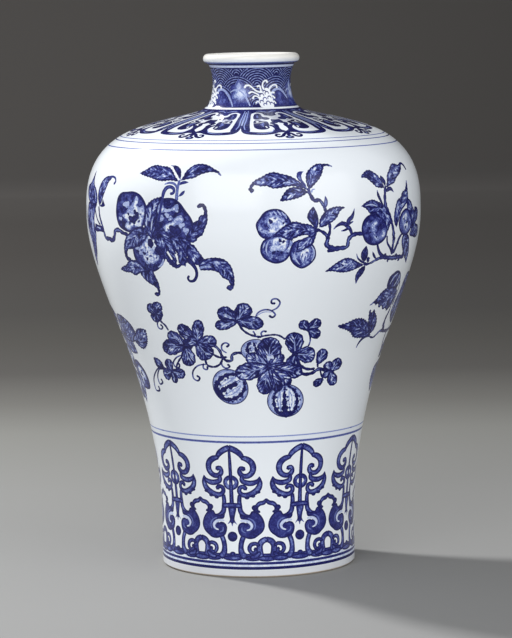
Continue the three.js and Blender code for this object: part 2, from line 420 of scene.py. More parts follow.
def lappet():
    def half(side):
        # The two bands of the border, with a pale line where neighbours meet.
        post = [(17.6, 351.7), (22.51, 351.7), (22.51, 345), (22.51, 330), (22.51, 318), (22.3, 311),
                (21, 305.6), (18.8, 303.8), (17.6, 308), (17.8, 314), (17.8, 330), (17.4, 341)]
        closed(flip(post, side), "comma", corners=True)
        stroke(flip([(20.6, 350), (20.6, 330), (20.6, 313), (19, 306.6), (15, 304.4)], side),
               [0.4, 0.8, 0.8, 0.7, 0.3], "soft")
        stroke(flip([(22.3, 348), (22.3, 330), (22.3, 318)], side), [0.3, 0.8, 0.4], "pale")
        stroke(flip([(20.6, 309), (19, 305), (14.5, 303.4), (9.5, 303.4), (5.6, 305.2), (3.8, 309.4),
                     (4.4, 315), (6.6, 318.4)], side), [3.6, 4.2, 4, 3.8, 3.8, 3.6, 3, 2.2], "comma")
        stroke(flip([(14.5, 303.6), (10, 303.8), (6.8, 306), (5.6, 310.6)], side), [0.3, 0.7, 0.7, 0.3],
               "soft")
        # The dark head with its pair of white scrolls.
        closed(flip([(0, 338.6), (0, 351.7), (17.7, 351.7), (17.5, 346), (16.6, 341), (15.8, 338.5),
                     (12, 341), (6, 341), (3, 340)], side), "comma", corners=True)
        stroke(flip([(12, 349.6), (6, 349.4), (0, 347)], side), [0.3, 0.9, 0.5], "soft")
        closed(flip([(15.2, 331.5), (15.4, 340), (13.4, 343.6), (10.4, 343.8), (8.8, 341.4), (7.6, 337.4),
                     (4.6, 336.2), (3.4, 333.6), (4.2, 331), (7.6, 330), (9.4, 332), (11.4, 331.2)], side),
               "dark", corners=True)
        stroke(flip([(16.3, 330.8), (16.5, 339.5), (15.4, 344.4), (11.8, 346.3), (8.6, 345.2), (6.9, 342.6),
                     (7.3, 339.8)], side), [1.3, 1.4, 1.6, 1.7, 1.7, 1.6, 1.2], "bare")
        stroke(flip([(12.8, 334), (12.2, 338), (12.2, 341)], side), [0.3, 1.2, 0.4], "mid")
        # Lower scroll: a dark comma with a small curl above it.
        closed(flip([(15.6, 326.4), (14.4, 329.4), (11.6, 329), (9.4, 327), (7.2, 326.4), (6.4, 322),
                     (7.2, 317), (7.4, 312.4), (9.6, 309.8), (12.6, 309.8), (14.9, 312.4), (15.7, 317),
                     (15.7, 322)], side), "dark")
        stroke(flip([(14, 327.6), (12.8, 325.8), (13.8, 324.2)], side), [0.9, 1.3, 0.7], "bare")
        stroke(flip([(9.4, 323.6), (10.6, 320), (10.4, 315.4)], side), [0.6, 2.4, 0.7], "soft")
        stroke(flip([(9, 315.6), (8.6, 312.8)], side), [1, 0.8], "bare")
        stroke(flip([(15.2, 322.4), (12.4, 323.4), (9, 325.2)], side), [0.4, 0.9, 0.4], "bare")
        stroke(flip([(14.8, 330.6), (11.4, 330.4), (7.6, 328.6)], side), [0.4, 0.8, 0.4], "dark")
        # Stem in the middle, forked round a white slot.
        stroke(flip([(0.8, 331.4), (1.8, 328), (2, 324), (4.2, 322.4), (3, 318.6), (3.2, 313.6), (2.6, 308.6),
                     (0.6, 306)], side), [3.4, 3.6, 3.6, 2.6, 3, 2.6, 2.4, 2.2], "dark")
        # Pendant: a pair of loops and a bud.
        stroke(flip([(0.3, 304.2), (1.9, 301.8), (3, 299.2), (4.7, 298.3), (5.9, 299.8), (5.2, 301.8),
                     (3.9, 301.4)], side), [1.8, 2.2, 2.2, 2, 1.8, 1.7, 1.5], "dark")
        stroke(flip([(0, 305.2), (2.4, 305.8), (5, 304.6)], side), [2.2, 2.4, 1.6], "dark")
    both(half)
    closed([(0, 338), (3.4, 335.2), (1.6, 331), (-1.6, 331), (-3.4, 335.2)], "bare", corners=True)
    blob(0, 297.8, 2.1, 1.9)
    blob(0, 297.8, 0.8, 0.6, "soft")
    stroke([(0, 305), (0, 300)], [2.6, 2.2], "dark")


def paintCollar():
    panel.update(weight=collar["weight"], wash=collar["wash"])
    for k in range(collar["count"]):
        panel.update(turn=collar["firstTurn"] + 360 / collar["count"] * k, up=0, degrees=True)
        lappet()
    panel.update(weight=1.0, wash=1.0)
    ring(352.6, 1.5, "bare")


def allRound(up, count=241):
    # A level line in degrees, a hair past the cut at the back on both sides.
    return np.stack([np.linspace(-180.001, 180.001, count), np.full(count, up)], 1)


# Neck: rings of scale waves on a dark ground, hills, and a crest of foam on every quarter.
neck = {"low": 353.4, "high": 379.9, "waves": 6, "quarters": 4, "waveRadius": 13.2, "wavePitch": 1.55,
        "rows": ((375.4, 38), (368.4, 8), (361.4, 38), (355.4, 8))}  # level in mm, shift in degrees


def paintNeck():
    panel.update(turn=0, up=0, degrees=True)
    mark(np.vstack([allRound(neck["low"], 181), allRound(neck["high"], 181)[::-1]]), "ground")
    for up, shift in neck["rows"]:
        for k in range(neck["waves"]):
            panel.update(turn=shift + 360 / neck["waves"] * k, up=up, degrees=False)
            waveScale(up)
    for k in range(neck["quarters"]):
        turn = 360 / neck["quarters"] * k
        panel.update(turn=turn, up=0, degrees=True)
        # A bank of mist between a hill and the foam.
        bank([(-34, 354.2), (-32, 359), (-28, 363), (-23, 366.4), (-17, 367.4), (-12, 366.2), (-7.6, 363.6),
              (-2.6, 359.2), (1.2, 354.2)], "slope")
        for x, y, wide, tall, ink in (
                (-17.8, 364.2, 14.5, 6.4, "mid"), (-19, 367.4, 5.4, 4.8, "soft"),
                (-16.2, 362.8, 11.6, 4.6, "soft"), (-18.6, 366.6, 3.4, 3.2, "pale"),
                (-15.4, 362.8, 8.4, 3.1, "pale"), (-15.2, 363, 5.6, 1.9, "mist")):
            blob(x, y, wide, tall, ink, wobble=0.12)
        for x in (-28, -24, -20, -16, -12, -8):
            stroke([(x, 360.4 - abs(x + 18) * 0.3), (x + 1, 357.6), (x + 1.6, 354.9)], [0.3, 0.8, 0.9], "mid")
        stroke([(-32, 364), (-26, 365.4), (-19, 365), (-13, 363.4), (-8.6, 360.8), (-5, 357.8), (-2.6, 355)],
               [0.5, 1, 1, 1, 1.1, 1.1, 0.9], "pale")
        hill([(21.5, 354.5), (25.5, 359.6), (31, 363.6), (38, 365.6), (46, 365.2), (53, 362.6), (60, 358.4),
              (64.5, 354.5)])
        panel.update(turn=turn + 20, degrees=False)
        foam()
    ring(380.6, 1.5, "mist")
    ring(382.1, 1.5, "dark")


def waveScale(up):
    # Concentric arcs that stand on the row below.
    outer = neck["waveRadius"]
    a = np.radians(np.linspace(0, 360, 40, endpoint=False))
    low, high = neck["low"] - up + 0.3, neck["high"] - up - 0.3
    mark(np.stack([outer * np.cos(a), np.clip(outer * np.sin(a), max(low, -4), high)], 1), "ground")
    for radius in np.arange(outer - 0.9, 1.2, -neck["wavePitch"]):
        a = np.radians(np.linspace(4, 176, 25))
        x, y = radius * np.cos(a), radius * np.sin(a)
        keep = (y < high - 0.4) & (y > low + 0.4)
        for piece in np.split(np.arange(25), np.where(~keep)[0]):
            piece = piece[keep[piece]]
            if len(piece) > 3:
                stroke(list(zip(x[piece], y[piece])), 0.44, "wave", 0.5, knots=0.35)


def bank(points, ink):
    # A shape that stands on the line at the foot of the neck.
    top = smooth(points)
    base = np.linspace(top[-1], top[0], 9)[1:-1]
    mark(np.vstack([top, base]), ink)


def hill(points):
    # A round hill: a pale crest over a dark slope with finer lines inside.
    bank(points, "slope")
    middle = (points[0][0] + points[-1][0]) / 2
    for k in range(6):
        x = points[0][0] + (points[-1][0] - points[0][0]) * (0.16 + 0.136 * k)
        top = float(np.interp(x, [q[0] for q in points], [q[1] for q in points]))
        stroke([(x, top - 2), (x + (x - middle) * 0.1, (top + 353.7) / 2), (x + (x - middle) * 0.16, 355.2)],
               [0.3, 0.8, 0.6], "dark")
    stroke(points, [0.7, 1.3, 1.6, 1.4, 1.2, 0.8], "pale")


def foam():
    # White spray: a lace of small crests with curled tips, in mm from its middle.
    body = [(-4.2, 353.8), (-5, 357.6), (-3.8, 361.6), (-2.6, 364.2), (-1.2, 365.4), (0.6, 366.6),
            (2.6, 365.6), (3.8, 363.2), (4.6, 359.6), (4.8, 356.4), (4.6, 353.8)]
    closed(body, "bare", corners=True)
    tendrils = [
        ([(-3.2, 363.8), (-5.8, 364.6), (-8, 366.4), (-10.6, 368.3), (-12.6, 368), (-13.2, 366.9)], 1.1),
        ([(-3, 363.9), (-3.2, 366.4), (-3.8, 367.9), (-5.2, 367.4)], 1.1),
        ([(-0.6, 365), (-1.8, 367.8), (-0.9, 370.6), (0.6, 371.2), (1.5, 370)], 1.1),
        ([(2, 364.4), (3.8, 367), (6.2, 368.3), (8.2, 367.9), (8.6, 366.4)], 1.1),
        ([(3.2, 361.4), (4.6, 363.6), (6.2, 363.2)], 1),
        ([(-3.6, 361), (-6.4, 363.2), (-9.4, 364.1), (-10.8, 363.2)], 1),
        ([(3, 359.2), (4.8, 361.2), (6.2, 359.8)], 1),
        ([(-3.6, 358), (-5.4, 361), (-7.6, 361.4), (-8.5, 359.8)], 1),
        ([(-4, 356), (-5.8, 357.8), (-7, 356.8)], 0.9),
        ([(4.2, 356.4), (5.4, 357.8), (6.4, 356.2)], 0.9),
    ]
    for points, width in tendrils:
        stroke(points, [width, width, width * 0.8, width * 0.9, width * 1.3], "bare", 0.6)
    for x, y, r in ((-2.6, 361.6, 1.3), (0.8, 363, 1.2), (2.4, 360, 1.2), (-0.8, 359.2, 1.2),
                    (-3.2, 357.4, 1.1), (1, 356.8, 1.1), (3.4, 356, 1), (-1.2, 355.4, 1),
                    (-0.8, 364.2, 0.8)):
        a = np.radians(np.linspace(-10, 215, 9))
        stroke(list(zip(x + r * np.cos(a), y + r * np.sin(a))), [0.5, 0.8, 0.5], "dark", 0.6)


def fruit(outline, patches=(), touches=(), smudges=(), tone="patch", body="fruit"):
    # A fruit: a dark body, ragged pale patches, and dark touches of the brush on them.
    closed(outline, body)
    for patch in patches:
        closed(patch, tone, corners=True, teeth=0.5)
    spots(smudges, "patch")
    spots(touches)


def roundOutline(cx, cy, rx, ry, count=14, wobble=0.025):
    t = np.linspace(0, 2 * math.pi, count, endpoint=False)
    r = 1 + wobble * np.sin(3 * t + cx) + wobble * np.sin(5 * t)
    return list(zip(cx + rx * r * np.cos(t), cy + ry * r * np.sin(t)))


def pomegranateSpray():
    twig([(-36, -3.8), (-40.4, -2.9), (-44.7, -1.4), (-48.4, -2.2), (-49.4, -5.2), (-51.8, -8.2),
          (-56.7, -7.6), (-60.6, -7.4), (-62.6, -4), (-64, -0.9), (-68.4, 6.6), (-69.3, 12)],
         [2.6, 2.6, 3, 2.8, 3.2, 3, 2.6, 2.2, 2.2, 2, 1.8])
    freeLeaf([(-73.5, 12.5), (-82, 12.6), (-91.9, 13.1), (-94.6, 9.6), (-96.4, 1.6), (-95, -4.9), (-91, -9),
              (-89, -14), (-89.6, -20.9), (-88.4, -28), (-83.6, -22), (-80.4, -18.4), (-78.2, -11.9),
              (-76.2, -4.9), (-78.4, 2.1), (-77, 7.6)], [(-80, 11), (-87, 0), (-85, -12), (-87.6, -26)],
             0.3, 0.8)
    stroke([(-102, 11), (-100.5, 6.1), (-98.6, 1.6), (-97, -3.9)], [1, 2.6, 2.2, 0.8], "leaf")
    stroke([(-85, 9), (-84, 4.1), (-82.4, -0.4), (-82, -5)], [1, 2.6, 2.2, 0.6], "pale")
    freeLeaf([(-73.6, 12.1), (-80, 12.6), (-89.5, 14.1), (-95.4, 18.6), (-96.6, 22.6), (-92.6, 25),
              (-89.3, 26), (-85.8, 29), (-82.4, 34), (-81.6, 28.1), (-80, 25.4), (-76.1, 23.1),
              (-73.2, 20.1), (-72, 16.1)], [(-73.6, 12.5), (-82, 18), (-87, 24), (-83, 32)], 0.3, 0.8)
    stroke([(-79.4, 23), (-77, 20.4), (-75.4, 16.6)], [0.5, 1.4, 0.6], "patch")
    freeLeaf([(-68, 12.4), (-71, 17.6), (-70.4, 22.6), (-67.8, 27.1), (-62.4, 31), (-57.6, 32), (-54, 31.1),
              (-57.2, 28.2), (-59.6, 24.2), (-62.9, 19), (-65.4, 15)],
             [(-68, 14), (-66.6, 21), (-62.6, 27), (-57, 30.8)], 0.3, 0.8)
    stroke([(-57.3, 31.1), (-52.6, 31.8), (-49.6, 30.6), (-49.2, 28.6), (-50.6, 27.4)],
           [2, 1.5, 1.4, 1.4, 1.8], "mid")
    closed([(-68.6, 12.6), (-65, 14), (-63.2, 17), (-61.6, 15), (-60.2, 13.4), (-64.4, 12)], "dark",
           corners=True)
    stroke([(-76, 9.6), (-73.1, 4.6), (-67.9, 0.4)], [2, 1.3, 1.6], "dark")
    closed([(-76.6, 1), (-70, 0.2), (-64, -0.6), (-61.8, -3.4), (-68, -3.8), (-76.6, -3.2)], "dark",
           corners=True)
    stroke([(-73.6, -1.2), (-68, -1.8)], [0.5, 1], "patch")
    # Crown of leaves above the great fruit.
    leaf((4, 30.5), [(1, 33.5), (-1.5, 37), (-5, 39.7), (-10, 40.3), (-14.5, 41), (-18, 40), (-22, 37.5)],
         (-26.5, 35.2), [(-3, 31.3), (-7, 30.8), (-12, 31.3), (-17, 32.7), (-22, 33.8)], teeth=0.6)
    freeLeaf([(5, 31), (7, 34), (7.5, 36), (10, 39.5), (13, 41.7), (18, 42.2), (22, 41), (26, 38.6),
              (29, 37), (31, 34.2), (28, 36.4), (25, 37), (20, 36), (17, 34.8), (14, 33), (10, 32.3)],
             [(5, 31), (12, 36.5), (20, 38.6), (28, 37)], 0.45)
    leaf((5, 31.5), [(1.5, 36), (-1, 39), (-2, 40.4)], (-4, 41), [(5, 34), (4, 38), (1.5, 40.4)], "dark",
         0.4, 0.2)
    leaf((3.5, 27.5), [(5.5, 30.2), (8, 31)], (11, 30), [(6.5, 28.6), (9, 29.2)], "mid", 0, 0)
    stroke([(-5.5, 28.6), (-2, 29.6), (1.5, 28.8), (3.6, 26)], [1, 1.6, 1.5], "soft")
    stroke([(4.5, 31), (3.8, 26), (3.6, 19)], [1.6, 2, 2.4], "soft")
    leaf((4.5, 21), [(5.6, 22.6), (7, 24.2)], (9, 25), [(7.4, 21.8), (8.6, 23)], "mid", 0, 0)
    fruit([(-46.7, 8), (-46.4, 14), (-44.4, 20), (-41.5, 22.2), (-36, 23), (-30, 23.4), (-24, 21.5),
           (-20, 17.5), (-18, 13), (-19, 6), (-23, 0.5), (-30, -2.2), (-38, -1.6), (-43.5, 1)],
          [[(-32, 14), (-29, 17.6), (-26.8, 20.4), (-25.8, 17), (-27, 15), (-24, 13.5), (-21.6, 14.6),
            (-20.3, 11), (-22.3, 5), (-24, 1.6), (-28, 1.8), (-31, 1.5), (-34, -0.8), (-37.5, 1.8),
            (-35.2, 4.4), (-39.6, 8), (-36, 9.8), (-35, 12)]],
          [(-30, 6, 3.4), (-26.4, 8.4, 2), (-25, 5, 1), (-34.4, 9.2, 1.1), (-33.2, 3.6, 1.1),
           (-28, 10.4, 1.8), (-23.6, 9.4, 0.9), (-29.2, 2.2, 0.8)], [(-36, 15, 2.6), (-42, 6, 1.4)])
    # The fruit below is half hidden by leaves.
    fruit([(-32, -12), (-30, -7), (-25, -4), (-19, -3), (-12, -5), (-8, -11), (-6, -17), (-9, -22),
           (-14, -26), (-20, -27.6), (-26, -26), (-31, -20)],
          [[(-22.9, -9.9), (-20.6, -7.4), (-18.8, -4.9), (-16, -3.4), (-13.1, -5.9), (-12.2, -8.9),
            (-8.9, -9.9), (-7.5, -10.9), (-11.2, -10.4), (-13.9, -12.9), (-15.3, -14.9), (-13.4, -15.9),
            (-11.1, -16.4), (-11.9, -18.9), (-14.2, -20.4), (-16, -21.4), (-17.8, -21.4), (-21, -21.9),
            (-22.4, -20.9), (-23.4, -18.4), (-23.6, -15.9), (-23.2, -13.4)],
           [(-29.8, -11.9), (-24.7, -10.9), (-21.5, -8.4), (-21.4, -10.9), (-23.7, -13.4), (-24.5, -16.4),
            (-26.3, -15.9), (-26.5, -13.4), (-29.3, -12.4)]],
          [(-24.6, -13.2, 0.9), (-24.9, -17.2, 0.9), (-20.8, -11.4, 0.8), (-13, -17.6, 0.8)])
    blob(-16.4, -8.4, 2.3, 3.1, "dark", wobble=0.1)
    blob(-9.8, -12.9, 3.9, 2.9, "dark", tilt=-20, wobble=0.08)
    spots([(-22.4, -15.2, 1.3), (-19.6, -14.2, 0.8), (-17.4, -16.6, 1), (-20.4, -18.6, 1.1)])
    stroke([(-7.8, -18.4), (-9.4, -21.6), (-12.6, -23.8)], [0.8, 1.7, 0.6], "patch")
    strokes([[(-20.3, -26), (-20.6, -22.8)], [(-14.5, -24), (-13.2, -20.2)], [(-16.7, -25), (-16.6, -22.2)],
             [(-22.8, -23.4), (-22.2, -20.6)], [(-18.6, -24.6), (-18.6, -20.6)]], [1.8, 1.2, 0.3], "dark")
    fruit([(-10, 14), (-8, 19), (-3, 20.2), (2, 19.8), (6, 17.4), (10, 12.6), (13.6, 8), (15.6, 2),
           (14.6, -3), (10, -7), (2, -8), (-6, -7), (-11, -1), (-12, 7)],
          [[(-9.4, 14.6), (-7.4, 16.6), (-4.6, 13.4), (0, 13.4), (3.4, 15.6), (4.6, 11.8), (1, 12.6),
            (-3, 11.6), (-6.6, 11.4), (-9.4, 10.4)],
           [(0.6, 5), (3.6, 8.2), (6.8, 9.2), (8.2, 6.6), (5, 4.2), (2.4, 3.4), (-0.6, 0.6), (-3, -1),
            (-5.4, 1.8), (-2.4, 4.2)]],
          [(-2, 17, 2.2), (2.6, 0, 3.8), (-7.6, 3.2, 2), (6.4, 12, 1.2), (-2.4, 0.4, 0.9)],
          [(-7, 7.4, 1.9), (-3, 9.4, 1.6), (10, 0, 2.2), (7, 3.4, 1.8), (4, 15, 1.4), (-0.6, 7.6, 1.5)])
    stroke([(-9.4, 6), (-8, 12), (-7, 17), (-6.4, 20.5), (-5.6, 24), (-3.6, 26.6), (-1, 27), (1.4, 25.4),
            (1, 23.2), (-0.8, 22.8)], [2.2, 2, 1.8, 1.9, 2, 2.6, 2.6, 2.2, 2, 1.8], "mid")
    # Leaves in the middle, ragged and overlapping.
    leaf((-14, -6), [(-19.6, -1), (-20.4, 8), (-18.4, 14.6), (-14.5, 18.2), (-10, 20)], (-6, 20.6),
         [(-12.2, -1), (-11, 6), (-10.6, 12), (-9, 17)], teeth=0.7)
    freeLeaf([(-19, 0.6), (-24, 1.6), (-29, 0.4), (-33, -2), (-37.4, -5.6), (-39.6, -9.4), (-40.6, -14.4),
              (-40, -19), (-37.6, -21.2), (-35, -20.2), (-35.6, -18.8), (-37.4, -18.4), (-38, -16),
              (-36.8, -13.4), (-33, -12.8), (-28, -10.8), (-24, -8.4), (-20, -6)],
             [(-19, -2.5), (-28, -4.6), (-36, -10.5)], 0.4)
    stroke([(-14.4, -4.4), (-11.8, -1.2), (-8.6, 1.6)], [2, 3.4, 2], "dark")
    strokes([[(-15.1, 12.6), (-16.4, 5.6)], [(-12.2, 16.6), (-12.9, 11.6)], [(-14.1, 6.6), (-15.3, -0.2)],
             [(-18.6, 9.6), (-18.6, 2.6)]], [0.3, 1, 0.3], "pale")
    leaf((-12, -3), [(-6, 0), (-2, -3), (0.4, -9), (1.6, -15)], (0.4, -24),
         [(-13, -8), (-9, -12), (-6.4, -17), (-3.4, -21.4)], teeth=0.8)
    leaf((-2, -4), [(3, -3), (7, -8), (9, -14)], (7, -22.4), [(0, -9), (3, -15), (3.4, -20)], teeth=0.8)
    leaf((4, -4), [(10, -5), (13.4, -9.6), (17, -15)], (20, -21), [(7, -11), (10, -17), (14, -20.6)],
         teeth=0.7)
    stroke([(-4, -16.6), (-1.6, -20.6), (0.8, -22.8), (4.6, -21)], [1.6, 2.6, 2.6, 1.6], "twig")
    stroke([(-4.2, -13.6), (-1.6, -18.2)], [1.4, 1], "bare")
    stroke([(1.4, -15), (2.4, -18.4)], [1.3, 1], "bare")
    freeLeaf([(9.6, -5.4), (13, -7.2), (16, -6.2), (17.6, -4), (20.4, -2.4), (22, 1), (24, 6), (24, 10.6),
              (23.6, 14), (22.2, 16.4), (19.6, 17), (17.6, 15.6), (18.2, 14.2), (20.6, 15), (21.9, 13),
              (21.8, 10.2), (19.4, 9.4), (18, 6.6), (15.4, 5.4), (13.6, 2), (10.6, -2)],
             [(10, -4), (16, 0.4), (20.6, 6), (22.6, 12)], 0.4)
    leaf((10, -9), [(13.4, -8.4), (17, -13), (20, -19)], (19, -22), [(9, -14), (12, -19.4), (16, -21.6)],
         teeth=0.6)
    stroke([(9.4, -18), (12.4, -21.4), (14, -25), (13.4, -29.4), (10.8, -32.2), (8.4, -32.2), (7.6, -30.2),
            (8.6, -29)], [4.2, 3, 2.2, 2, 2, 1.7, 1.5], "twig")
    freeLeaf([(16.4, -21.6), (19, -18.4), (23, -17.2), (28.4, -16.8), (33, -18), (36.2, -21.6), (37.4, -27),
              (37.2, -32), (36, -36), (33.8, -38.2), (31.8, -37), (32.2, -35.4), (34.2, -34.6),
              (33.6, -31.6), (30.4, -29.6), (28.6, -26.6), (25, -25), (20.6, -24.8), (17, -24.6)],
             [(18, -21.6), (27, -20.8), (33.4, -24.6), (35.4, -32)], 0.45)
    stroke([(16.6, -23.6), (20, -22.6), (24, -22.8)], [1.4, 1.6, 0.6], "patch")
    freeLeaf([(-25, -24), (-29, -20.8), (-33, -20.2), (-38, -21.4), (-41, -24), (-44, -25), (-47.4, -27),
              (-42, -28.6), (-37.6, -28.6), (-33, -30.2), (-29, -28.4), (-24, -28)],
             [(-26, -25.6), (-35, -25.2), (-45, -26.8)], 0.5)
    freeLeaf([(-18, -25), (-23, -26.6), (-28.6, -28), (-26, -32), (-22, -35), (-18.2, -36.8),
              (-16.4, -38.6), (-16.4, -41), (-18.4, -41), (-19.4, -42.2), (-17.2, -43.6), (-15, -42),
              (-14.5, -38.4), (-14.8, -34), (-16, -30.8)], [(-20, -26), (-20.6, -31), (-16, -38)], 0.4)


def peachSpray():
    twig([(-16, -5.6), (-12, -7.6), (-9.4, -10.4), (-9.8, -15), (-5.6, -17.6), (0, -17.8), (5, -17),
          (5.8, -12.4), (9, -10), (13, -9.4), (17, -10)], [1.6, 2.4, 3.2, 3.4, 3.2, 2.6, 3, 2.8, 2.4])
    twig([(-8.6, -1), (-8, -6), (-9.4, -11)], [2.2, 1.8, 2.4])
    stroke([(-8.6, -19), (-4, -19.2)], [2.4, 1.6], "twig")
    stroke([(8, -9.6), (6.8, -6.6), (4.6, -4.4), (2.6, -3.2)], [2, 2.4, 2.8, 2.2], "twig")
    stroke([(4.4, -4), (5.6, -0.6), (8, 1.4), (9, 3.4), (9.9, 6.4)], [2, 3, 3, 1.8, 0.4], "twig")
    stroke([(4.6, -3.6), (0.6, -2.4), (-3, -3.6), (-5.4, -5.6)], [2.6, 2.8, 1.8, 0.6], "twig")
    stroke([(5.6, -5.4), (2.6, -6.6), (0.2, -7)], [1.6, 1.6, 0.7], "twig")
    stroke([(5.6, -2.8), (8.8, -1.6)], [1.8, 0.8], "twig")
    stroke([(2.4, -2.6), (0.2, -1)], [1.6, 0.8], "twig")
    twig([(-21.5, 18.5), (-20.4, 16), (-18, 12.6), (-15, 12.8), (-12.6, 10), (-11, 6), (-10.8, 4)],
         [2, 2.4, 2.6, 2, 2.2, 1.6])
    leaf((-12, 7), [(-12, 10), (-11.4, 13)], (-10.8, 15.4), [(-9.8, 9), (-9.2, 12)], "mid", 0.4, 0.1)
    stroke([(-19.6, 17.8), (-18.8, 19.4), (-17.2, 19.6)], [1.2, 1, 0.6], "soft")
    fruit([(-46, 8.2), (-40, 7.8), (-35.6, 4), (-33, -1), (-34, -8), (-40, -10.4), (-47, -10.6), (-52, -9),
           (-54.6, -5), (-55.4, -1), (-53, 3), (-50, 6.6)],
          [[(-47.6, 2.6), (-45.8, 3.6), (-42, 4.1), (-39.6, 3.1), (-37.3, 0.6), (-36.2, -1.6), (-39, -3.4),
            (-42.9, -6.2), (-46.6, -6.8), (-49.9, -6.4), (-52.6, -5.2), (-53.7, -2.9), (-52.8, -1.7),
            (-51.4, -3.9), (-48.4, -4.9), (-46.9, -3.4), (-48.1, -0.9)]],
          [(-46.2, 0.6, 1.5), (-38.2, -0.4, 0.9), (-36.3, 0.4, 1), (-51.6, -4.6, 0.7), (-43.4, 2.6, 0.9),
           (-47.4, -5, 0.7), (-40.4, 3, 0.7)], body="peach")
    strokes([[(-44.3, 7), (-42.2, 4.4)], [(-42, 7.3), (-39.4, 3.9)], [(-39.3, 6.4), (-37, 3.4)],
             [(-37.3, 4.9), (-36.3, 2.1)], [(-46.6, 6.4), (-45.6, 4.4)]], [0.3, 1, 0.3], "patch")
    fruit([(-50.6, -11), (-46, -8.6), (-40, -8.4), (-34, -10), (-31.6, -14), (-33, -20), (-35.6, -24),
           (-41, -26), (-46, -24.6), (-50, -21.8), (-52.2, -17)],
          [[(-45.5, -11.4), (-44.1, -9.9), (-40.9, -9.3), (-37.1, -9.6), (-36.1, -11.4), (-36, -14.4),
            (-37.6, -17.6), (-39.9, -17.6), (-42.2, -18.2), (-45.6, -17.2), (-46.2, -15.4), (-44.9, -13.9)],
           [(-34.4, -11.2), (-32.6, -12.4), (-32.9, -16.4), (-35, -19), (-35.4, -17.4), (-34.2, -14.6)]],
          [(-40.2, -11.4, 1.2), (-38, -12, 1.1), (-40.2, -13.6, 0.7), (-43.6, -18.7, 1.3),
           (-41, -18.2, 0.9), (-38.8, -19, 1.1), (-35.4, -19.6, 1)], body="peach")
    stroke([(-34.4, -11.6), (-34.8, -14.6), (-37, -18)], [0.6, 0.9, 0.6], "dark")
    stroke([(-47.4, -11.6), (-48.3, -14.4), (-48.4, -17.4), (-47.4, -20)], [0.3, 0.9, 0.9, 0.3], "patch")
    stroke([(-49.8, -12.6), (-50.5, -15.9)], [0.3, 0.9, 0.3], "patch")
    stroke([(-42, -22.3), (-38.7, -21.9), (-36, -21.9)], [0.8, 2, 0.6], "soft")
    fruit([(-31, -12), (-26, -11), (-20, -13.6), (-17, -18), (-16.6, -23), (-20, -27.6), (-24.6, -29.8),
           (-29, -28), (-32.6, -24), (-33.8, -18)],
          [[(-27.4, -19.4), (-24.8, -17.2), (-21.9, -16.7), (-20.6, -19.4), (-20.9, -21.9), (-22.5, -24.4),
            (-24.2, -25.9), (-26.2, -23.4)]], [(-27.6, -22.4, 0.9), (-22.6, -19.4, 0.8)], body="peach")
    strokes([[(-25.2, -19.8), (-25.9, -23.4)], [(-23.3, -21.4), (-23.8, -25.4)],
             [(-21.6, -20.4), (-22, -22.8)]], [0.3, 1.1, 0.4], "dark")
    stroke([(-30.4, -19), (-30.2, -22), (-28.4, -25), (-26.4, -27)], [0.3, 0.9, 0.9, 0.3], "patch")
    stroke([(-20, -15.4), (-18.2, -18.2), (-17.8, -21.6), (-19, -25)], [0.5, 0.9, 0.8, 0.4], "patch")
    freeLeaf([(-21.5, 19.5), (-24, 22.4), (-27, 24.8), (-32, 28.3), (-37, 29.8), (-40.5, 31), (-45, 30.3),
              (-49, 28.3), (-54, 25.8), (-57.4, 22.4), (-58.4, 20), (-57, 18.6), (-55.6, 19.6),
              (-56.4, 21.6), (-54.5, 23.4), (-51, 22.6), (-47, 22.6), (-44, 21.2), (-40, 21.2), (-36, 21.8),
              (-31, 22.2), (-26, 21)], [(-23, 20.8), (-34, 25.4), (-44, 26), (-54, 24)], 0.6)
    leaf((-22, 18), [(-26, 20.6), (-30, 21.2), (-34, 20.3), (-37.5, 17)], (-39.8, 13),
         [(-24, 16.8), (-28, 15), (-32, 14), (-36, 13.4)], "leaf", 1, 0.6)
    leaf((-22.5, 20), [(-25.5, 24), (-27.6, 27.4), (-26.4, 30.6)], (-22.4, 31.2), [(-22.8, 22.6), (-24.6, 26),
         (-24.4, 29)], "mid", 0.5, 0.2)
    freeLeaf([(-21, 19.5), (-22, 24), (-20.6, 30), (-18, 32.6), (-15, 34.6), (-12.4, 35.8), (-8, 35.6),
              (-5, 35.4), (-2.6, 33.6), (-4.6, 34.2), (-8, 34.2), (-9.4, 32), (-11, 29), (-13, 26.4),
              (-16, 23.6)], [(-20.6, 21), (-17, 27.6), (-12.4, 33), (-6, 34.9)], 0.5)
    leaf((-15, -4), [(-15, 0), (-13.6, 2.8), (-10, 6.2), (-7, 7.5), (-3, 8.2)], (2.8, 7.5),
         [(-11, -3.2), (-8, -1.6), (-5.6, -0.4), (-3, 2), (-1, 5.4)], teeth=0.5)
    leaf((-17, -5), [(-21, -1), (-23.2, 2.5), (-22, 6)], (-19, 9), [(-15.8, -1), (-16.2, 3), (-17.6, 6.6)],
         "dark", 0.8, 0.2)
    freeLeaf([(-16.8, -5.4), (-18, -11), (-19.4, -14.4), (-22.6, -16.4), (-26.4, -18.2), (-29.2, -19),
              (-29.4, -16), (-28.6, -12.6), (-25.4, -10.4), (-22, -8.6), (-19, -6)],
             [(-17.6, -6.4), (-21.6, -11.4), (-27.6, -17)], 0.4, 0.8)
    stroke([(-20.4, -9.8), (-23.4, -12.6), (-26.6, -15.8)], [0.3, 1, 0.4], "patch")
    leaf((-17, -5.4), [(-22, -2), (-26, -1.4), (-31, 0), (-37, -2), (-41, -5)], (-46, -9.4),
         [(-20, -10), (-24, -8.6), (-29, -9), (-32, -11), (-36, -10.6), (-40, -8.8)], teeth=0.6)
    closed([(-32.4, -10.6), (-28.6, -9.5), (-23.8, -8.4), (-22.4, -8.8), (-26.3, -10.5), (-28.8, -11.2),
            (-30.8, -12)], "bare", corners=True)
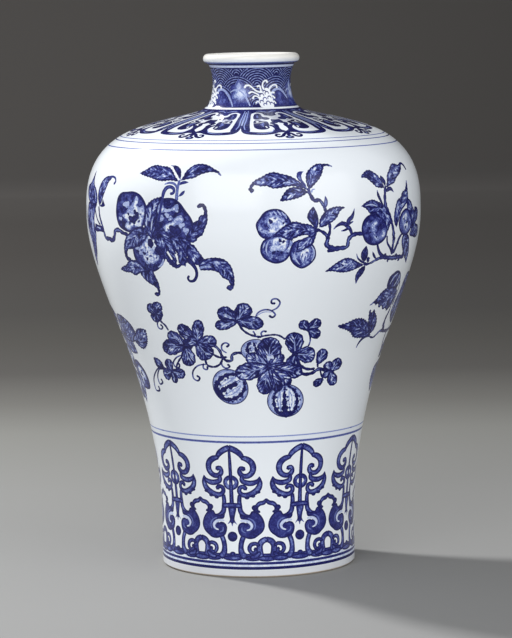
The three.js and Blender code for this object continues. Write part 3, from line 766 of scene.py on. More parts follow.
    stroke([(-38, -8), (-35, -5.6), (-33, -4.6)], [0.5, 1.2, 0.5], "patch")
    spot(-16.8, -5.6, 1.9)
    spot(-21.4, 19.2, 1.3, "mid")
    # The right-hand branch with its fruits and leaves.
    twig([(47, -24.4), (46.6, -19.9), (47.1, -15.9), (46.6, -12.9), (45.2, -7.9), (42.9, -2.9), (40.4, 1.1),
          (37.9, 5.1), (36.9, 8.6), (36.9, 12.1), (37.4, 15.1), (38.4, 18.6)],
         [3.2, 2.4, 3, 3.2, 2.4, 2.6, 3.2, 3.6, 3.2, 2.8, 2.6, 2.2])
    fruit([(23.1, 2.1), (19.3, 0.6), (16.5, -2.4), (15.5, -6.4), (16.4, -10.4), (19.1, -14.9),
           (23.7, -17.4), (29.3, -17.9), (34.5, -16.4), (37.9, -13.9), (39.6, -9.9), (39.6, -5.9),
           (37.8, -1.4), (33, 2), (28, 3)],
          [[(19.8, -2.9), (22.6, -3.7), (25, -2.7), (28.3, -1.7), (29.9, -3.9), (27.6, -6.4), (28.9, -8.1),
            (27.4, -9.9), (28, -11), (33.1, -11), (33.4, -8.7), (37.6, -8.5), (37.7, -11.4), (35.1, -13.9),
            (28.9, -15), (26, -13.4), (25.4, -9.9), (22.4, -8.6), (23.6, -7.1), (22.4, -5.6),
            (20.3, -4.4)]], [(22.1, -6.6, 1.1), (23.2, -9.6, 1), (32.2, -5.4, 1.4), (28.6, -12.4, 0.9),
                             (30.4, -13.6, 0.7)], tone="murk")
    freeLeaf([(28.4, 4.4), (27.6, 1.6), (30.4, -0.4), (33.4, -1.6), (35.6, -3.6), (37.6, -6.4),
              (39.6, -9.4), (41.6, -6.4), (43.4, -3.4), (41.9, 0.6), (38.9, 4.1), (35.2, 7), (31, 7.2)],
             [(29, 4), (35, 1.6), (39.6, -3.6), (40.4, -8)], 0.35, 0.9)
    leaf((35.4, 6.4), [(33.9, 7.9), (31.6, 8.8), (28.7, 9.8), (25.9, 10.8), (20.7, 10.1), (18.4, 9.1)],
         (15.6, 7.4), [(31.1, 3.6), (26.9, 2.6), (23.1, 2.2), (20.8, 4.6), (19.3, 5.9)], teeth=0.5)
    stroke([(19, 7.6), (24, 8), (29, 6.6)], [0.4, 1, 0.4], "patch")
    stroke([(31.4, 5.4), (35, 3.4), (38, -0.4)], [0.4, 1.3, 0.5], "soft")
    stroke([(30.2, -17.2), (31.4, -20.4), (33.5, -23.4), (37.5, -25.9)], [1.8, 2.2, 2.6, 2.4], "twig")
    stroke([(39.3, -12.9), (40, -16.9), (43.9, -20.9), (46.4, -24.4)], [1.6, 1.6, 1.8, 1.8], "twig")
    stroke([(57.1, -12.6), (53.6, -15.4), (51.4, -19.4), (48.4, -24)], [1.6, 2.6, 2.6, 2.8], "twig")
    spot(46.9, -14.6, 1.8)
    stroke([(51.4, -19), (53.8, -18.4)], [2, 0.8], "twig")
    # The pointed fruit at the edge, between its leaves.
    freeLeaf([(77.8, 3.1), (86.8, -0.4), (85.8, -4.4), (80.5, -7.4), (89.6, -10.9), (90.1, -14.9),
              (85.6, -16.9), (76, -15.9), (69.6, -14.4), (73.8, -7.9), (76.4, -3.4)],
             [(74, -14), (78, -8), (80, 0)], 0.4, 0.8)
    freeLeaf([(64, 9.4), (70.7, 6.8), (74.1, 3.1), (77.6, -0.4), (76.8, -4.4), (74.2, -7.4), (71.2, -10.4),
              (68, -4), (64, 2.4)], [(73, -8), (71, 0), (66, 7.4)], 0.4, 0.8)
    closed([(56.6, 1.4), (53.3, -1.9), (52.1, -4.9), (53.2, -9.4), (56.5, -12.8), (63.6, -13.9),
            (68.6, -12.1), (71.9, -7.4), (70.2, -2.2), (65.6, 2.6), (60.8, 3)], "peach")
    closed([(57.5, -0.7), (63.7, 1), (66.2, -0.7), (64, -3.9), (67, -7.4), (64.7, -11.6), (58.2, -10),
            (55.2, -5.4)], "murk", corners=True, teeth=0.5)
    stroke([(60.6, -1.2), (58.4, -5), (60.4, -9.6)], [0.5, 1.8, 0.5], "patch")
    spots([(59, -3.4, 0.9), (63.4, -5.6, 1.2), (61.4, -9, 1.1)])
    closed([(49.4, -7.9), (46.7, -4.4), (46.7, 0.6), (48.6, 5.6), (50.9, 9.1), (55.1, 10.6), (57.3, 13.4),
            (61.9, 15), (65.6, 20.4), (65.8, 13.1), (65.4, 8.2), (60.4, 5), (54.9, 1.6), (52.3, -2.9)],
           "leaf", corners=True, veins=1, spine=[(50, -6), (52, 3), (58.6, 9.4), (64.6, 17)], teeth=0.5)
    leaf((59, -12.9), [(57.7, -16.4), (60.7, -23.4), (65.4, -28.4)], (71.4, -33.4),
         [(69, -15.9), (70.9, -20.9), (72.6, -26.4)], teeth=0.4)
    closed([(36.8, 17.8), (32.7, 18.1), (29.4, 18.9), (26.9, 20.9), (24.5, 22.9), (21.6, 25), (17.6, 25.6),
            (20.7, 28.3), (23.1, 29.5), (26.3, 29.5), (28.9, 28), (31.8, 26.3), (33.8, 24.1), (35.7, 21)],
           "leaf", corners=True, veins=1, spine=[(35.6, 19), (29, 23.4), (22, 27)], teeth=0.5)
    stroke([(21.8, 26.2), (18.6, 26.6)], [1.6, 0.6], "dark")
    leaf((38.2, 18.4), [(35.8, 21.6), (34.4, 24)], (34.7, 25.8), [(39.2, 21.2), (37.6, 24)], "dark", 0.4, 0.1)
    freeLeaf([(38.9, 17.6), (40.8, 21.6), (41.8, 25.1), (45.1, 28.3), (48.4, 31.3), (51.1, 32.5),
              (54.2, 32.3), (58, 31.2), (62.7, 32.3), (62.2, 29.8), (58.2, 26.1), (51.7, 22.9),
              (48.8, 20.4), (43.8, 19.2)], [(40, 19.4), (46, 24.4), (52, 28.4), (59, 31)], 0.45)
    stroke([(61.4, 31.6), (64.6, 31.9), (67.2, 30.4), (69.2, 27.6)], [1.6, 1.8, 2.2, 1.8], "dark")
    leaf((37.8, 15), [(40.4, 17.8), (44.2, 17.8)], (47, 14), [(40, 15), (43.2, 15.6)], "dark", 0.3, 0.1)
    leaf((35.8, 6), [(31, 10.6), (29.4, 13.6)], (29.9, 17), [(34, 9.4), (32, 13)], "dark", 0.3, 0.1)
    twig([(21.3, -30), (26, -29.2), (31, -27.4), (36.1, -26.4), (41.5, -26.9), (46.9, -27.6), (55.1, -27.8),
          (63.7, -28.4)], [1.6, 1.6, 2.4, 2.8, 3, 3.4, 3.2, 2.2])
    spots([(38.4, -25.4, 1.8), (52.4, -26.4, 1.7), (62, -26.6, 1.9), (57, -29.6, 1.4), (43, -28.8, 1.3)])
    leaf((31.6, -27.6), [(28.2, -26), (26.6, -24)], (26.4, -21.6), [(30.4, -26), (28.6, -23.6)], "dark", 0, 0)
    leaf((20, -30), [(15, -28), (10, -25.5), (6, -24.6), (0, -26.4), (-4, -29)], (-8.8, -32.6),
         [(14, -32), (8, -33.6), (2, -33.6), (-4, -32.4)], teeth=0.5)
    leaf((20, -28), [(17.2, -25.6), (16.6, -22.5)], (20.4, -17.6), [(22, -26), (22.4, -22)], "dark", 0.7, 0.2)
    leaf((21, -30.5), [(16.5, -33), (14.4, -37), (14.8, -40)], (15.8, -42.5),
         [(21.6, -32), (20.4, -35.6), (17.4, -39)], "dark", 0.8, 0.3)
    leaf((23, -29), [(21.8, -27), (23, -25)], (25, -26), [(24.6, -27.6), (24.4, -26.8)], "dark", 0, 0)
    stroke([(20.6, -29), (16.6, -27), (14.2, -25), (13, -22.4)], [1.2, 1.6, 1.2, 0.6], "twig")
    spot(21.4, -29.6, 1.5)


def vineLeaf(heart, lobes):
    # Rounded lobes round a heart: (tip x, tip y, width).
    for x, y, width in lobes:
        petal(heart, (x, y), width)


def melon(cx, cy, rx, ry, tilt, stripes, bands=()):
    # A melon: a blue body in a dark outline, with pale bands, dark stripes from pole to pole, and seeds.
    blob(cx, cy, rx, ry, "dark", tilt)
    blob(cx, cy, rx - 0.7, ry - 0.7, "rind", tilt)
    c, s = math.cos(math.radians(tilt)), math.sin(math.radians(tilt))
    t = np.linspace(-1, 1, 9)

    def meridian(bend, reach=1.0):
        y = t * (ry - 1.6) * reach
        x = bend * np.sqrt(np.clip(1 - (t * 0.97 * reach) ** 2, 0, 1)) * (rx - 1.6)
        return tilted(cx, cy, x, y, tilt)

    for bend, width in bands:
        stroke(meridian(bend, 0.72), [0.6, width, width, 0.6], "patch")
    for bend, widths in stripes:
        line = meridian(bend)
        stroke(line, widths, "dark", knots=0.3)
        for k in range(1, 8):
            half = widths[min(k * len(widths) // 9, len(widths) - 1)] * 0.5
            side = 1 if k % 3 else -1
            size = 0.4 + 0.15 * (k * 7 % 3)
            edge = side * (half + 0.3 + 0.3 * (k * 5 % 3))
            blob(line[k][0] + edge * c, line[k][1] + edge * s, size, size * 1.2, "dark", tilt)
    low = tilted(cx, cy, rx * np.array([-0.55, 0, 0.55]), ry * np.array([-0.7, -0.8, -0.7]), tilt)
    stroke(low, [0.8, ry * 0.42, 0.8], "dark")


def melonSpray():
    tendrils = [
        [(-60, 18), (-62.4, 16), (-61.8, 12.6), (-59.4, 11.8), (-58.2, 13.4), (-59.8, 14.8)],
        [(-45.5, -6), (-50, -8.6), (-52, -12), (-50, -14.8), (-47.4, -14.4), (-47.4, -12.2), (-48.8, -12)],
        [(-28, -11.4), (-34, -13), (-37.4, -17.6), (-36.6, -22), (-33.6, -23), (-32.6, -21), (-34.4, -19.8)],
        [(-29.4, -11), (-29.4, -14.4), (-27.2, -15), (-26.8, -13)],
        [(-14, -3), (-16.8, -0.6), (-16.4, 2.8), (-14, 4), (-12.2, 2.6), (-13.6, 1.2)],
        [(-17, -8), (-17, -12), (-14.6, -13.8), (-12.2, -12.6), (-13.4, -11.2)],
        [(5, 21), (6.5, 24.5), (11, 26.8), (16, 25.4), (17.4, 23), (15.4, 21.4), (13.8, 22.6)],
        [(15, 26), (19.4, 28.6), (20.6, 31.6), (18.6, 34), (15.6, 33.4), (15.4, 31.2), (17.4, 31)],
        [(9, 8.4), (8.2, 10.4), (9.6, 12), (11.4, 11.6)],
        [(-58, -18), (-62, -15), (-66, -18), (-68, -24), (-66, -28), (-63.4, -26.4), (-64.6, -24.4)],
        [(-62, -14), (-69, -19), (-73, -26), (-71, -33), (-67.6, -32.4), (-68.4, -29.8)],
    ]
    for points in tendrils:
        stroke(points, [0.9, 1.1, 1.2, 1.1, 1.6], "dark", 0.7)
    stroke([(5.6, 22.4), (10.4, 25.2), (15, 25)], [0.5, 0.7, 0.5], "soft")
    for points, width in (
            ([(-26, 2), (-21, 1.4), (-18.4, -1.4), (-16.6, -6), (-14, -8.6), (-11, -8.4),
              (-10.4, -4.6), (-7, -3), (-3, -3.6)], 2),
            ([(-23, -4), (-18, -6.4), (-14, -6)], 1.6),
            ([(-28, -8), (-27, -11.6), (-22, -13), (-18.4, -11), (-16.6, -7)], 1.5),
            ([(-61, 20), (-59, 17), (-56, 14.6), (-54, 11.5)], 1.6),
            ([(-50, -15), (-47.4, -10), (-45, -7)], 1.3), ([(-62.4, -16.4), (-57, -17.4)], 1.3),
            ([(-6, 19), (-3, 13), (2, 9.4), (8, 8)], 1.5), ([(3.4, 12), (4.6, 9.4)], 1.2),
            ([(6, 7.6), (12, 9), (19, 8.8), (23, 6)], 1.3),
            ([(31, -8), (32, -12), (36, -15.4), (42, -16)], 1.9),
            ([(32, -18), (36, -19.4), (40, -19), (46, -16.4), (50, -17.6)], 2.4),
            ([(39, 9), (39.6, 4), (38, 0), (33, -2.6)], 1.1),
            ([(44.6, -15), (44.6, -10)], 1.4), ([(46.6, -16.6), (47, -20), (48.6, -23)], 1.4)):
        twig(points, width)
    melon(4, -1, 9, 7.6, 12, [(-0.62, [1.4, 2.4, 1.4]), (0.1, [1, 1.8, 1])])
    melon(-12.4, -26.4, 12.8, 11, -56,
          [(-0.7, [3.6, 2.8, 1.6]), (-0.06, [4.6, 1.8, 0.4]), (0.76, [2.4, 2.6, 1.6])],
          [(-0.36, 2.6), (0.36, 2.8), (0.94, 1), (-0.94, 1)])
    closed([(-13.4, -27.8), (-11.6, -28.6), (-10.4, -26.8), (-8.6, -26.6), (-7.4, -24.6), (-9, -23.2),
            (-10.6, -24.2), (-12.4, -24.4)], "dark", corners=True)
    melon(22.5, -36.6, 12, 11.4, 0, [(-0.74, [2.4, 2.2, 1.4]), (-0.08, [5, 2.8, 1]), (0.72, [2.6, 2.2, 1.4])],
          [(-0.42, 2.4), (0.3, 2.6), (0.95, 1), (-0.96, 0.9)])
    vineLeaf((-62.4, 22), [(-70, 28.4, 7), (-61, 31, 8.6), (-57.6, 24, 7), (-66, 17.4, 7.4), (-60.6, 17, 6)])
    spot(-37, 4, 6.5)
    vineLeaf((-41.6, 1), [(-60.2, -1.6, 11.4), (-54.6, 9.6, 8.6), (-39, -13.4, 10.4)])
    vineLeaf((-33, 3), [(-46, 15.6, 8.8), (-31.4, 19.8, 8.2), (-19.8, 5.6, 9), (-24.6, -7.4, 12),
                        (-40, 6, 8)])
    vineLeaf((-54, -18), [(-57.4, -9.2, 6.8), (-61.6, -21.4, 8.6), (-43, -19.4, 7.4), (-50.6, -26, 5)])
    leaf((-60.6, -16.8), [(-62, -12.6), (-66, -9.8)], (-70, -9.4), [(-64, -17.4), (-68, -15)])
    vineLeaf((-6.4, 19), [(-18, 27.4, 10), (-20.6, 15.4, 7.6), (0.6, 31, 10.6), (10, 17, 9.4)])
    vineLeaf((38.4, 11.6), [(33.4, 18, 7), (46.8, 18, 7.2), (46.6, 6.8, 7.4)])
    vineLeaf((29.4, -5), [(29, 10.6, 12), (43, -6.4, 11.6), (26, -14, 8)])
    vineLeaf((12, -13), [(14, 7.8, 15), (-1.6, -4.6, 9.4), (22, -5, 7), (34, -18, 11), (26, -25.4, 9.6),
                         (18.6, -30.4, 8.4), (8.4, -32, 10.4), (-9, -18, 12)])
    vineLeaf((54, -18.4), [(51, -12, 7.2), (63, -11.2, 7.8), (57, -29, 8.2), (48.6, -22.4, 5)])
    petal((44.6, -12.4), (50.4, -2.8), 8, "leaf")
    petal((48.6, -23.6), (41.2, -27.6), 5.4, "dark")
    closed([(11, -4.8), (12.8, -5.6), (15, -5), (15.4, -7.8), (13.7, -7.2), (12.6, -8.8)], "mist",
           corners=True)


def loquatSpray():
    twig([(-3.4, 2.4), (3, 1), (6.9, 3), (10, 4.5), (16.8, 3.7), (27.1, 3), (36, 4), (48, 0), (60, 3)],
         [1.2, 1.6, 2, 2.4, 3, 3.2, 2.6, 2.4, 1.8])
    twig([(15.7, 4.5), (12.7, 9.5), (13.1, 13.5), (15.4, 18), (16, 21)], [3.4, 3.4, 2.8, 2.4, 1.8])
    stroke([(-2.7, 2.2), (-6, 3), (-9.1, 2.3), (-11.7, 0.3), (-13.1, -1.7), (-13.9, -4.4)],
           [1.2, 2.4, 2.6, 2.2, 1.6, 0.8], "dark")
    twig([(25, 2), (27, -8), (36, -12), (44, -13)], [2.4, 2.2, 1.8])
    twig([(48, 0), (52, -8), (55, -20)], [2.4, 2, 1.6])
    spot(14.6, 4.6, 2.4)
    freeLeaf([(-3, 3), (-7.4, 9.5), (-12.3, 13.5), (-19.7, 16.2), (-24.5, 16), (-30.3, 14), (-36.4, 12.5),
              (-29.8, 10), (-24.5, 7.5), (-20.3, 4), (-12.6, 2.6), (-6.1, 2.3)],
             [(-3, 3), (-14, 8.6), (-24, 11.6), (-34, 12.5)], 1)
    freeLeaf([(-3.4, 4.6), (-8.6, 10.5), (-10.8, 15.5), (-12.2, 21.6), (-9.4, 19), (-7.2, 21.2),
              (-6.1, 19.5), (-1.6, 15), (0.4, 10), (-0.4, 6.5)], [(-3, 5), (-6, 12), (-10, 20)], 0.7)
    closed([(1.7, 33), (-0.9, 38), (0, 42.5), (4.4, 45), (8.4, 46.2), (15, 44.4), (18.6, 40), (17.6, 35),
            (10, 31)], "fruit")
    strokes([[(3, 37.4), (6, 41.6), (11, 44)], [(9.6, 35.4), (13, 39), (14.4, 42.4)]], [0.5, 1.5, 0.5],
            "pale")
    stroke([(15, 36), (16.8, 39.6), (14.6, 43.2)], [0.5, 1.6, 0.5], "patch")
    freeLeaf([(26, 31), (33, 42), (43, 41.6), (49, 38), (46.6, 28.6), (41, 18.4), (31, 8), (25, 10.4),
              (19.4, 16.6), (21.6, 24.4)], [(44, 38), (34, 30), (28, 18), (30.4, 10)], 0.6, 0.9)
    stroke([(17, 40), (20.4, 35), (20, 29), (17.6, 22)], [1.2, 1.4, 1.4, 2], "twig")
    twig([(44, 36), (46, 44), (52, 54), (58, 60)], [2.2, 2.6, 2.2, 1.6])
    freeLeaf([(18.6, 31.4), (14.9, 33.7), (5.1, 35.2), (-0.9, 34.7), (-5.1, 32.5), (-9.2, 28.2),
              (-13.9, 24.6), (-9.6, 26), (-7.5, 24.6), (-5.4, 25.4), (-2.9, 22.2), (0, 23.4), (3, 20.4),
              (6.5, 21), (9.6, 18.8), (13.1, 20.6), (15.4, 22.4), (18, 27)],
             [(17, 31), (6, 28.6), (-12, 25)], 0.6, 0.9)
    leaf((38, -1.4), [(30.4, -6), (27, -10)], (26.2, -16), [(39, -8), (34.6, -14)], teeth=0.5)
    leaf((40, -17), [(30, -18.6), (20.7, -22.3), (19.2, -28.5)], (25, -39),
         [(41, -24), (37, -30), (31.6, -36)], teeth=0.7)
    leaf((48, 4), [(50, 14), (56, 20), (64, 22)], (74, 17), [(54, 5), (62, 7), (68, 11)], teeth=1.1,
         pitch=3.0)
    for cx, cy, rx, ry in ((56, -31, 9.5, 10.5), (73, -24, 9.5, 10), (62, -12, 8.5, 8.5)):
        fruit(roundOutline(cx, cy, rx, ry),
              [[(cx - 3, cy + 4), (cx + 2, cy + 6), (cx + 6, cy + 2), (cx + 5, cy - 3), (cx + 1, cy - 2),
                (cx - 1, cy - 6), (cx - 5, cy - 3)]],
              [(cx + 1, cy + 1, 1.8), (cx - 2.4, cy - 1.6, 1.1), (cx + 3.4, cy + 3, 0.9)])
    leaf((60, 3), [(65.8, -3), (71.1, -8)], (83.1, -8.6), [(66.4, 5.8), (77.3, 9), (84, 2)], teeth=0.6)
    leaf((67, 3), [(70, 9), (77.3, 17)], (88.4, 17.4), [(74, 0), (88, 0), (96, 4), (97, 11.5)], teeth=0.6)
    leaf((66, -12), [(64, -26), (60, -34)], (61.1, -44), [(71, -24), (68, -36)], teeth=0.5)
    leaf((88, 2), [(96, 6), (104, 10)], (112, 10), [(94, -4), (104, 0)], teeth=0.8)


sprays = [
    {"draw": pomegranateSpray, "turn": -28, "up": 231.9, "wash": 1.0},
    {"draw": peachSpray, "turn": 30, "up": 236.9, "wash": 0.93},
    {"draw": melonSpray, "turn": -3, "up": 153.5, "wash": 1.08},
    {"draw": loquatSpray, "turn": 58, "up": 153.5, "wash": 1.0},
]


def paintSprays():
    for spray in sprays:
        for turn in (spray["turn"], spray["turn"] + 180):
            panel.update(turn=turn, up=spray["up"], degrees=False, wash=spray["wash"])
            spray["draw"]()
    panel["wash"] = 1.0


# Rings: level above the foot in mm along the wall, width, ink. The lowest ring, in the ink 'shade', is a
# faint blue wash that is partly painted shade just above the foot.
rings = [
    (4.2, 5.6, "shade"), (10.0, 6.8, "mist"), (10.1, 1.7, "line"), (7.0, 1.9, "dark"), (14.9, 3.2, "band"),
    (91.0, 2.8, "faint"), (89.2, 1.5, "soft"), (93.0, 0.9, "soft"),
    (291.2, 0.8, "line"), (294.6, 0.7, "mid"), (285.0, 0.8, "mid"),
]


def ring(up, width, ink):
    panel.update(turn=0, up=0, degrees=True)
    low, top = allRound(up - width / 2), allRound(up + width / 2)
    mark(np.vstack([low, top[::-1]]), ink, inner=[allRound(up)])


def paintRings():
    for up, width, ink in rings:
        ring(up, width, ink)


paintRings()
paintFoot()
paintCollar()
paintNeck()
paintSprays()
print("brushwork laid out:", len(marks), "marks")

# The skin: one net of triangles over the whole outside, cut along every mark. Lengths are in mm.
skinNet = {
    "grid": 3.0,        # between the free points
    "edgeStep": 3.0,    # between the points of a cut
    "strips": 3,
    "clear": 0.6,       # least gap from a free point to a mark
    "ringSides": 144,   # sides of the plain faces that close the wall
    "open": 6.0,        # depth within a mark, as given where there is none
    "onCut": 1e-3,      # how near to the cut at the back counts as on it
    "pair": 0.02,       # how near two points on either side of that cut are one
    "onRim": 1e-4,      # how near to a section's edge counts as on it
    "weld": 0.01,
}
ringSides = skinNet["ringSides"]
firstUp, lastUp = float(lengthUp[0]), float(lengthUp[-1])
sections = []
for node in ("foot_section", "lower_slip_joint", "belly_section", "upper_slip_joint",
             "shoulder_section", "neck_slip_joint", "mouth_and_neck"):
    low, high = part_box(node)
    bottom = firstUp if node == "foot_section" else upAt(low[2] / mm)
    top = lastUp if node == "mouth_and_neck" else upAt(high[2] / mm)
    sections.append({"node": node, "bottom": bottom, "top": top})


def distanceTo(points, line, isClosed):
    # For each point: how far off the line it lies, how far along the line, and on which side.
    a = line
    b = np.roll(line, -1, axis=0) if isClosed else line[1:]
    a = a if isClosed else line[:-1]
    d = b - a
    size = np.maximum((d * d).sum(1), 1e-12)
    gap = points[:, None, :] - a[None]
    t = np.clip((gap * d[None]).sum(2) / size, 0, 1)
    off = gap - t[..., None] * d[None]
    far = np.sqrt((off * off).sum(2))
    best = far.argmin(1)
    rows = np.arange(len(points))
    run = np.concatenate([[0], np.cumsum(np.sqrt(size))])[best] + t[rows, best] * np.sqrt(size[best])
    side = np.sign(d[best, 0] * gap[rows, best, 1] - d[best, 1] * gap[rows, best, 0])
    return far[rows, best], run, side


def inside(points, loop):
    a, b = loop, np.roll(loop, -1, axis=0)
    x, y = points[:, 0][:, None], points[:, 1][:, None]
    across = (a[:, 1] > y) != (b[:, 1] > y)
    with np.errstate(divide="ignore", invalid="ignore"):
        at = (b[:, 0] - a[:, 0]) * (y - a[:, 1]) / (b[:, 1] - a[:, 1]) + a[:, 0]
    return (across & (x < at)).sum(1) % 2 == 1


def squeezeOf(piece):
    # From the plan to true lengths, round and up, at a mark's own height.
    return np.array([radiusAt(piece["loop"][:, 1].mean()) / unroll, 1])


def moved(piece, turn):
    copy = dict(piece, loop=piece["loop"] + [turn, 0], inner=[line + [turn, 0] for line in piece["inner"]])
    copy["spine"] = None if piece["spine"] is None else piece["spine"] + [turn, 0]
    return copy


def wrappedMarks():
    # Each mark where it lies, and again a full turn away where it crosses the cut at the back.
    pieces = []
    for piece in marks:
        for turn in (-2 * halfTurn, 0, 2 * halfTurn):
            copy = moved(piece, turn)
            x = copy["loop"][:, 0]
            isRing = x.max() - x.min() >= 2 * halfTurn
            if x.max() > -halfTurn and x.min() < halfTurn and (turn == 0 or not isRing):
                pieces.append(copy)
    return pieces


def innerPoints(pieces):
    # Points within the marks, along their middles and in two rows inside their rims.
    rows = []
    for piece in pieces:
        squeeze = squeezeOf(piece)
        real = piece["loop"] * squeeze
        size = (real.max(0) - real.min(0)).min()
        rimWidth = piece["ink"][2]
        rows.extend(piece["inner"])
        inward = normals(np.vstack([real, real[:1]]))[:-1] * (1 if turnsLeft(real) else -1)
        for depth in (rimWidth, rimWidth + 1.4):
            if size > 2.6 * depth:
                row = (real + inward * depth)[::2]
                away = distanceTo(row, real, True)[0]
                keep = (away > 0.85 * depth) & inside(row, real)
                rows.append(row[keep] / squeeze)
    points = np.vstack(rows)
    x, up = points[:, 0], points[:, 1]
    return points[(np.abs(x) < halfTurn) & (up > firstUp) & (up < lastUp)]


def gridPoints():
    # Level rows of even points, each half a step round from the one below.
    rows, up = [], firstUp + skinNet["grid"]
    while up < lastUp - skinNet["grid"] / 2:
        count = int(2 * math.pi * radiusAt(up) / skinNet["grid"])
        x = (np.arange(count) + 0.5 * (len(rows) % 2) + 0.25) / count * 2 * halfTurn - halfTurn
        rows.append(np.stack([x, np.full(count, up)], 1))
        up += skinNet["grid"]
    return np.vstack(rows)


def buildNet():
    pieces = wrappedMarks()
    verts, faces, edges = [], [], []
    ups = np.linspace(firstUp, lastUp, int((lastUp - firstUp) / skinNet["edgeStep"]) + 1)
    across = np.linspace(-halfTurn, halfTurn, int(2 * halfTurn / skinNet["edgeStep"]) + 1)

    def level(up):
        return np.stack([across, np.full(len(across), up)], 1)

    def upright(x):
        return np.stack([np.full(len(ups), x), ups], 1)

    def addLine(line):
        start = len(verts)
        verts.extend(map(Vector, line))
        return list(range(start, len(verts)))

    def addCut(line):
        points = addLine(line)
        edges.extend(zip(points, points[1:]))

    sides = (level(firstUp), upright(halfTurn), level(lastUp)[::-1], upright(-halfTurn)[::-1])
    faces.append(addLine(np.vstack([side[:-1] for side in sides])))
    for section in sections[:-1]:
        addCut(level(section["top"]))
    for k in range(1, skinNet["strips"]):
        addCut(upright(-halfTurn + 2 * halfTurn * k / skinNet["strips"]))
    for piece in pieces:
        faces.append(addLine(piece["loop"]))
    tree = kdtree.KDTree(len(verts))
    for i, v in enumerate(verts):
        tree.insert((v.x * radiusAt(v.y) / unroll, v.y, 0), i)
    tree.balance()
    for x, y in np.vstack([gridPoints(), innerPoints(pieces)]):
        gap = tree.find((x * float(radiusAt(y)) / unroll, y, 0))[2]
        if abs(x) < halfTurn - 0.5 and gap > skinNet["clear"]:
            verts.append(Vector((x, y)))
    print("cutting the skin:", len(verts), "points,", len(faces), "outlines")
    out = delaunay_2d_cdt(verts, edges, faces, 0, 1e-4, True)
    where = np.array([tuple(v) for v in out[0]])
    tris = np.array(out[2])
    # Each triangle belongs to the mark laid last over it; the border itself is outline 0.
    top = np.array([max(f) if f and 0 in f else -1 for f in out[5]])
    keep = top >= 0
    tris, top = tris[keep], top[keep]
    a, b, c = where[tris[:, 0]], where[tris[:, 1]], where[tris[:, 2]]
    turn = (b[:, 0] - a[:, 0]) * (c[:, 1] - a[:, 1]) - (b[:, 1] - a[:, 1]) * (c[:, 0] - a[:, 0])
    tris[turn < 0] = tris[turn < 0][:, ::-1]
    return where, tris, top, pieces


where, tris, topMark, pieces = buildNet()
print("skin:", len(where), "points,", len(tris), "triangles")


def paintCorners():
    # What each corner of a triangle carries: its ink, its depth in the mark, its place on the leaf.
    brush = np.zeros((len(tris), 3, 4), np.float32)
    edge = np.full((len(tris), 3), skinNet["open"], np.float32)
    grain = np.zeros((len(tris), 3, 3), np.float32)
    order = np.argsort(topMark, kind="stable")
    bounds = np.searchsorted(topMark[order], np.arange(1, len(pieces) + 2))
    for k, piece in enumerate(pieces):
        own = order[bounds[k]:bounds[k + 1]]
        if not len(own):
            continue
        squeeze = squeezeOf(piece)
        used, back = np.unique(tris[own], return_inverse=True)
        points = where[used] * squeeze
        far = distanceTo(points, piece["loop"] * squeeze, True)[0]
        brush[own] = piece["ink"]
        edge[own] = far[back].reshape(-1, 3)
        if piece["spine"] is not None:
            off, run, side = distanceTo(points, piece["spine"] * squeeze, False)
            facts = np.stack([run, off * side, np.full(len(used), piece["veins"])], 1)
            grain[own] = facts[back].reshape(-1, 3, 3)
    return brush, edge, grain


brush, edge, grain = paintCorners()


def onPot(points):
    turn, up = points[:, 0] / unroll, points[:, 1]
    r = radiusAt(up)
    return np.stack([r * np.sin(turn), -r * np.cos(turn), heightAt(up)], 1) * mm


def outward(points):
    # The true facing of the wall.
    turn, up = points[:, 0] / unroll, points[:, 1]
    slope = np.gradient(outerFace, lengthUp, axis=0)
    r = np.interp(up, lengthUp, slope[:, 0])
    z = np.interp(up, lengthUp, slope[:, 1])
    n = np.stack([z * np.sin(turn), -z * np.cos(turn), -r], 1)
    return n / np.linalg.norm(n, axis=1)[:, None]


def weldSeam():
    # The two sides of the cut at the back are joined point by point; a point without a partner
    # is drawn to the nearest one that has.
    same = np.arange(len(where))
    left = np.where(where[:, 0] < -halfTurn + skinNet["onCut"])[0]
    right = np.where(where[:, 0] > halfTurn - skinNet["onCut"])[0]
    gap = np.abs(where[right, 1][:, None] - where[left, 1][None])
    partner = gap.argmin(1)
    paired = (gap.min(1) < skinNet["pair"]) & (gap.argmin(0)[partner] == np.arange(len(right)))
    kept = left[partner[paired]]
    for side in (left, right):
        for i in side:
            same[i] = kept[np.abs(where[kept, 1] - where[i, 1]).argmin()]
    return same


seam = weldSeam()


def closeRim(spots, up, circle, first):
    # Triangles from the skin's rim to a plain circle (radius, height), in step round the pot.
    rim = np.where(np.abs(spots[:, 1] - up) < skinNet["onRim"])[0]
    rim = rim[np.argsort(spots[rim, 0])]
    turns = np.linspace(-math.pi, math.pi, ringSides, endpoint=False)
    radius, height = circle
    points = np.stack([radius * np.sin(turns), -radius * np.cos(turns), np.full(ringSides, height)], 1)
    outer = np.append(spots[rim, 0] / unroll, math.pi)
    inner = np.append(turns, math.pi)
    faces, i, k = [], 0, 0
    while i < len(rim) or k < ringSides:
        a, b = rim[i % len(rim)], first + k % ringSides
        if k >= ringSides or (i < len(rim) and outer[i + 1] <= inner[k + 1]):
            faces.append((a, rim[(i + 1) % len(rim)], b))
            i += 1
        else:
            faces.append((a, first + (k + 1) % ringSides, b))
            k += 1
    return points * mm, faces


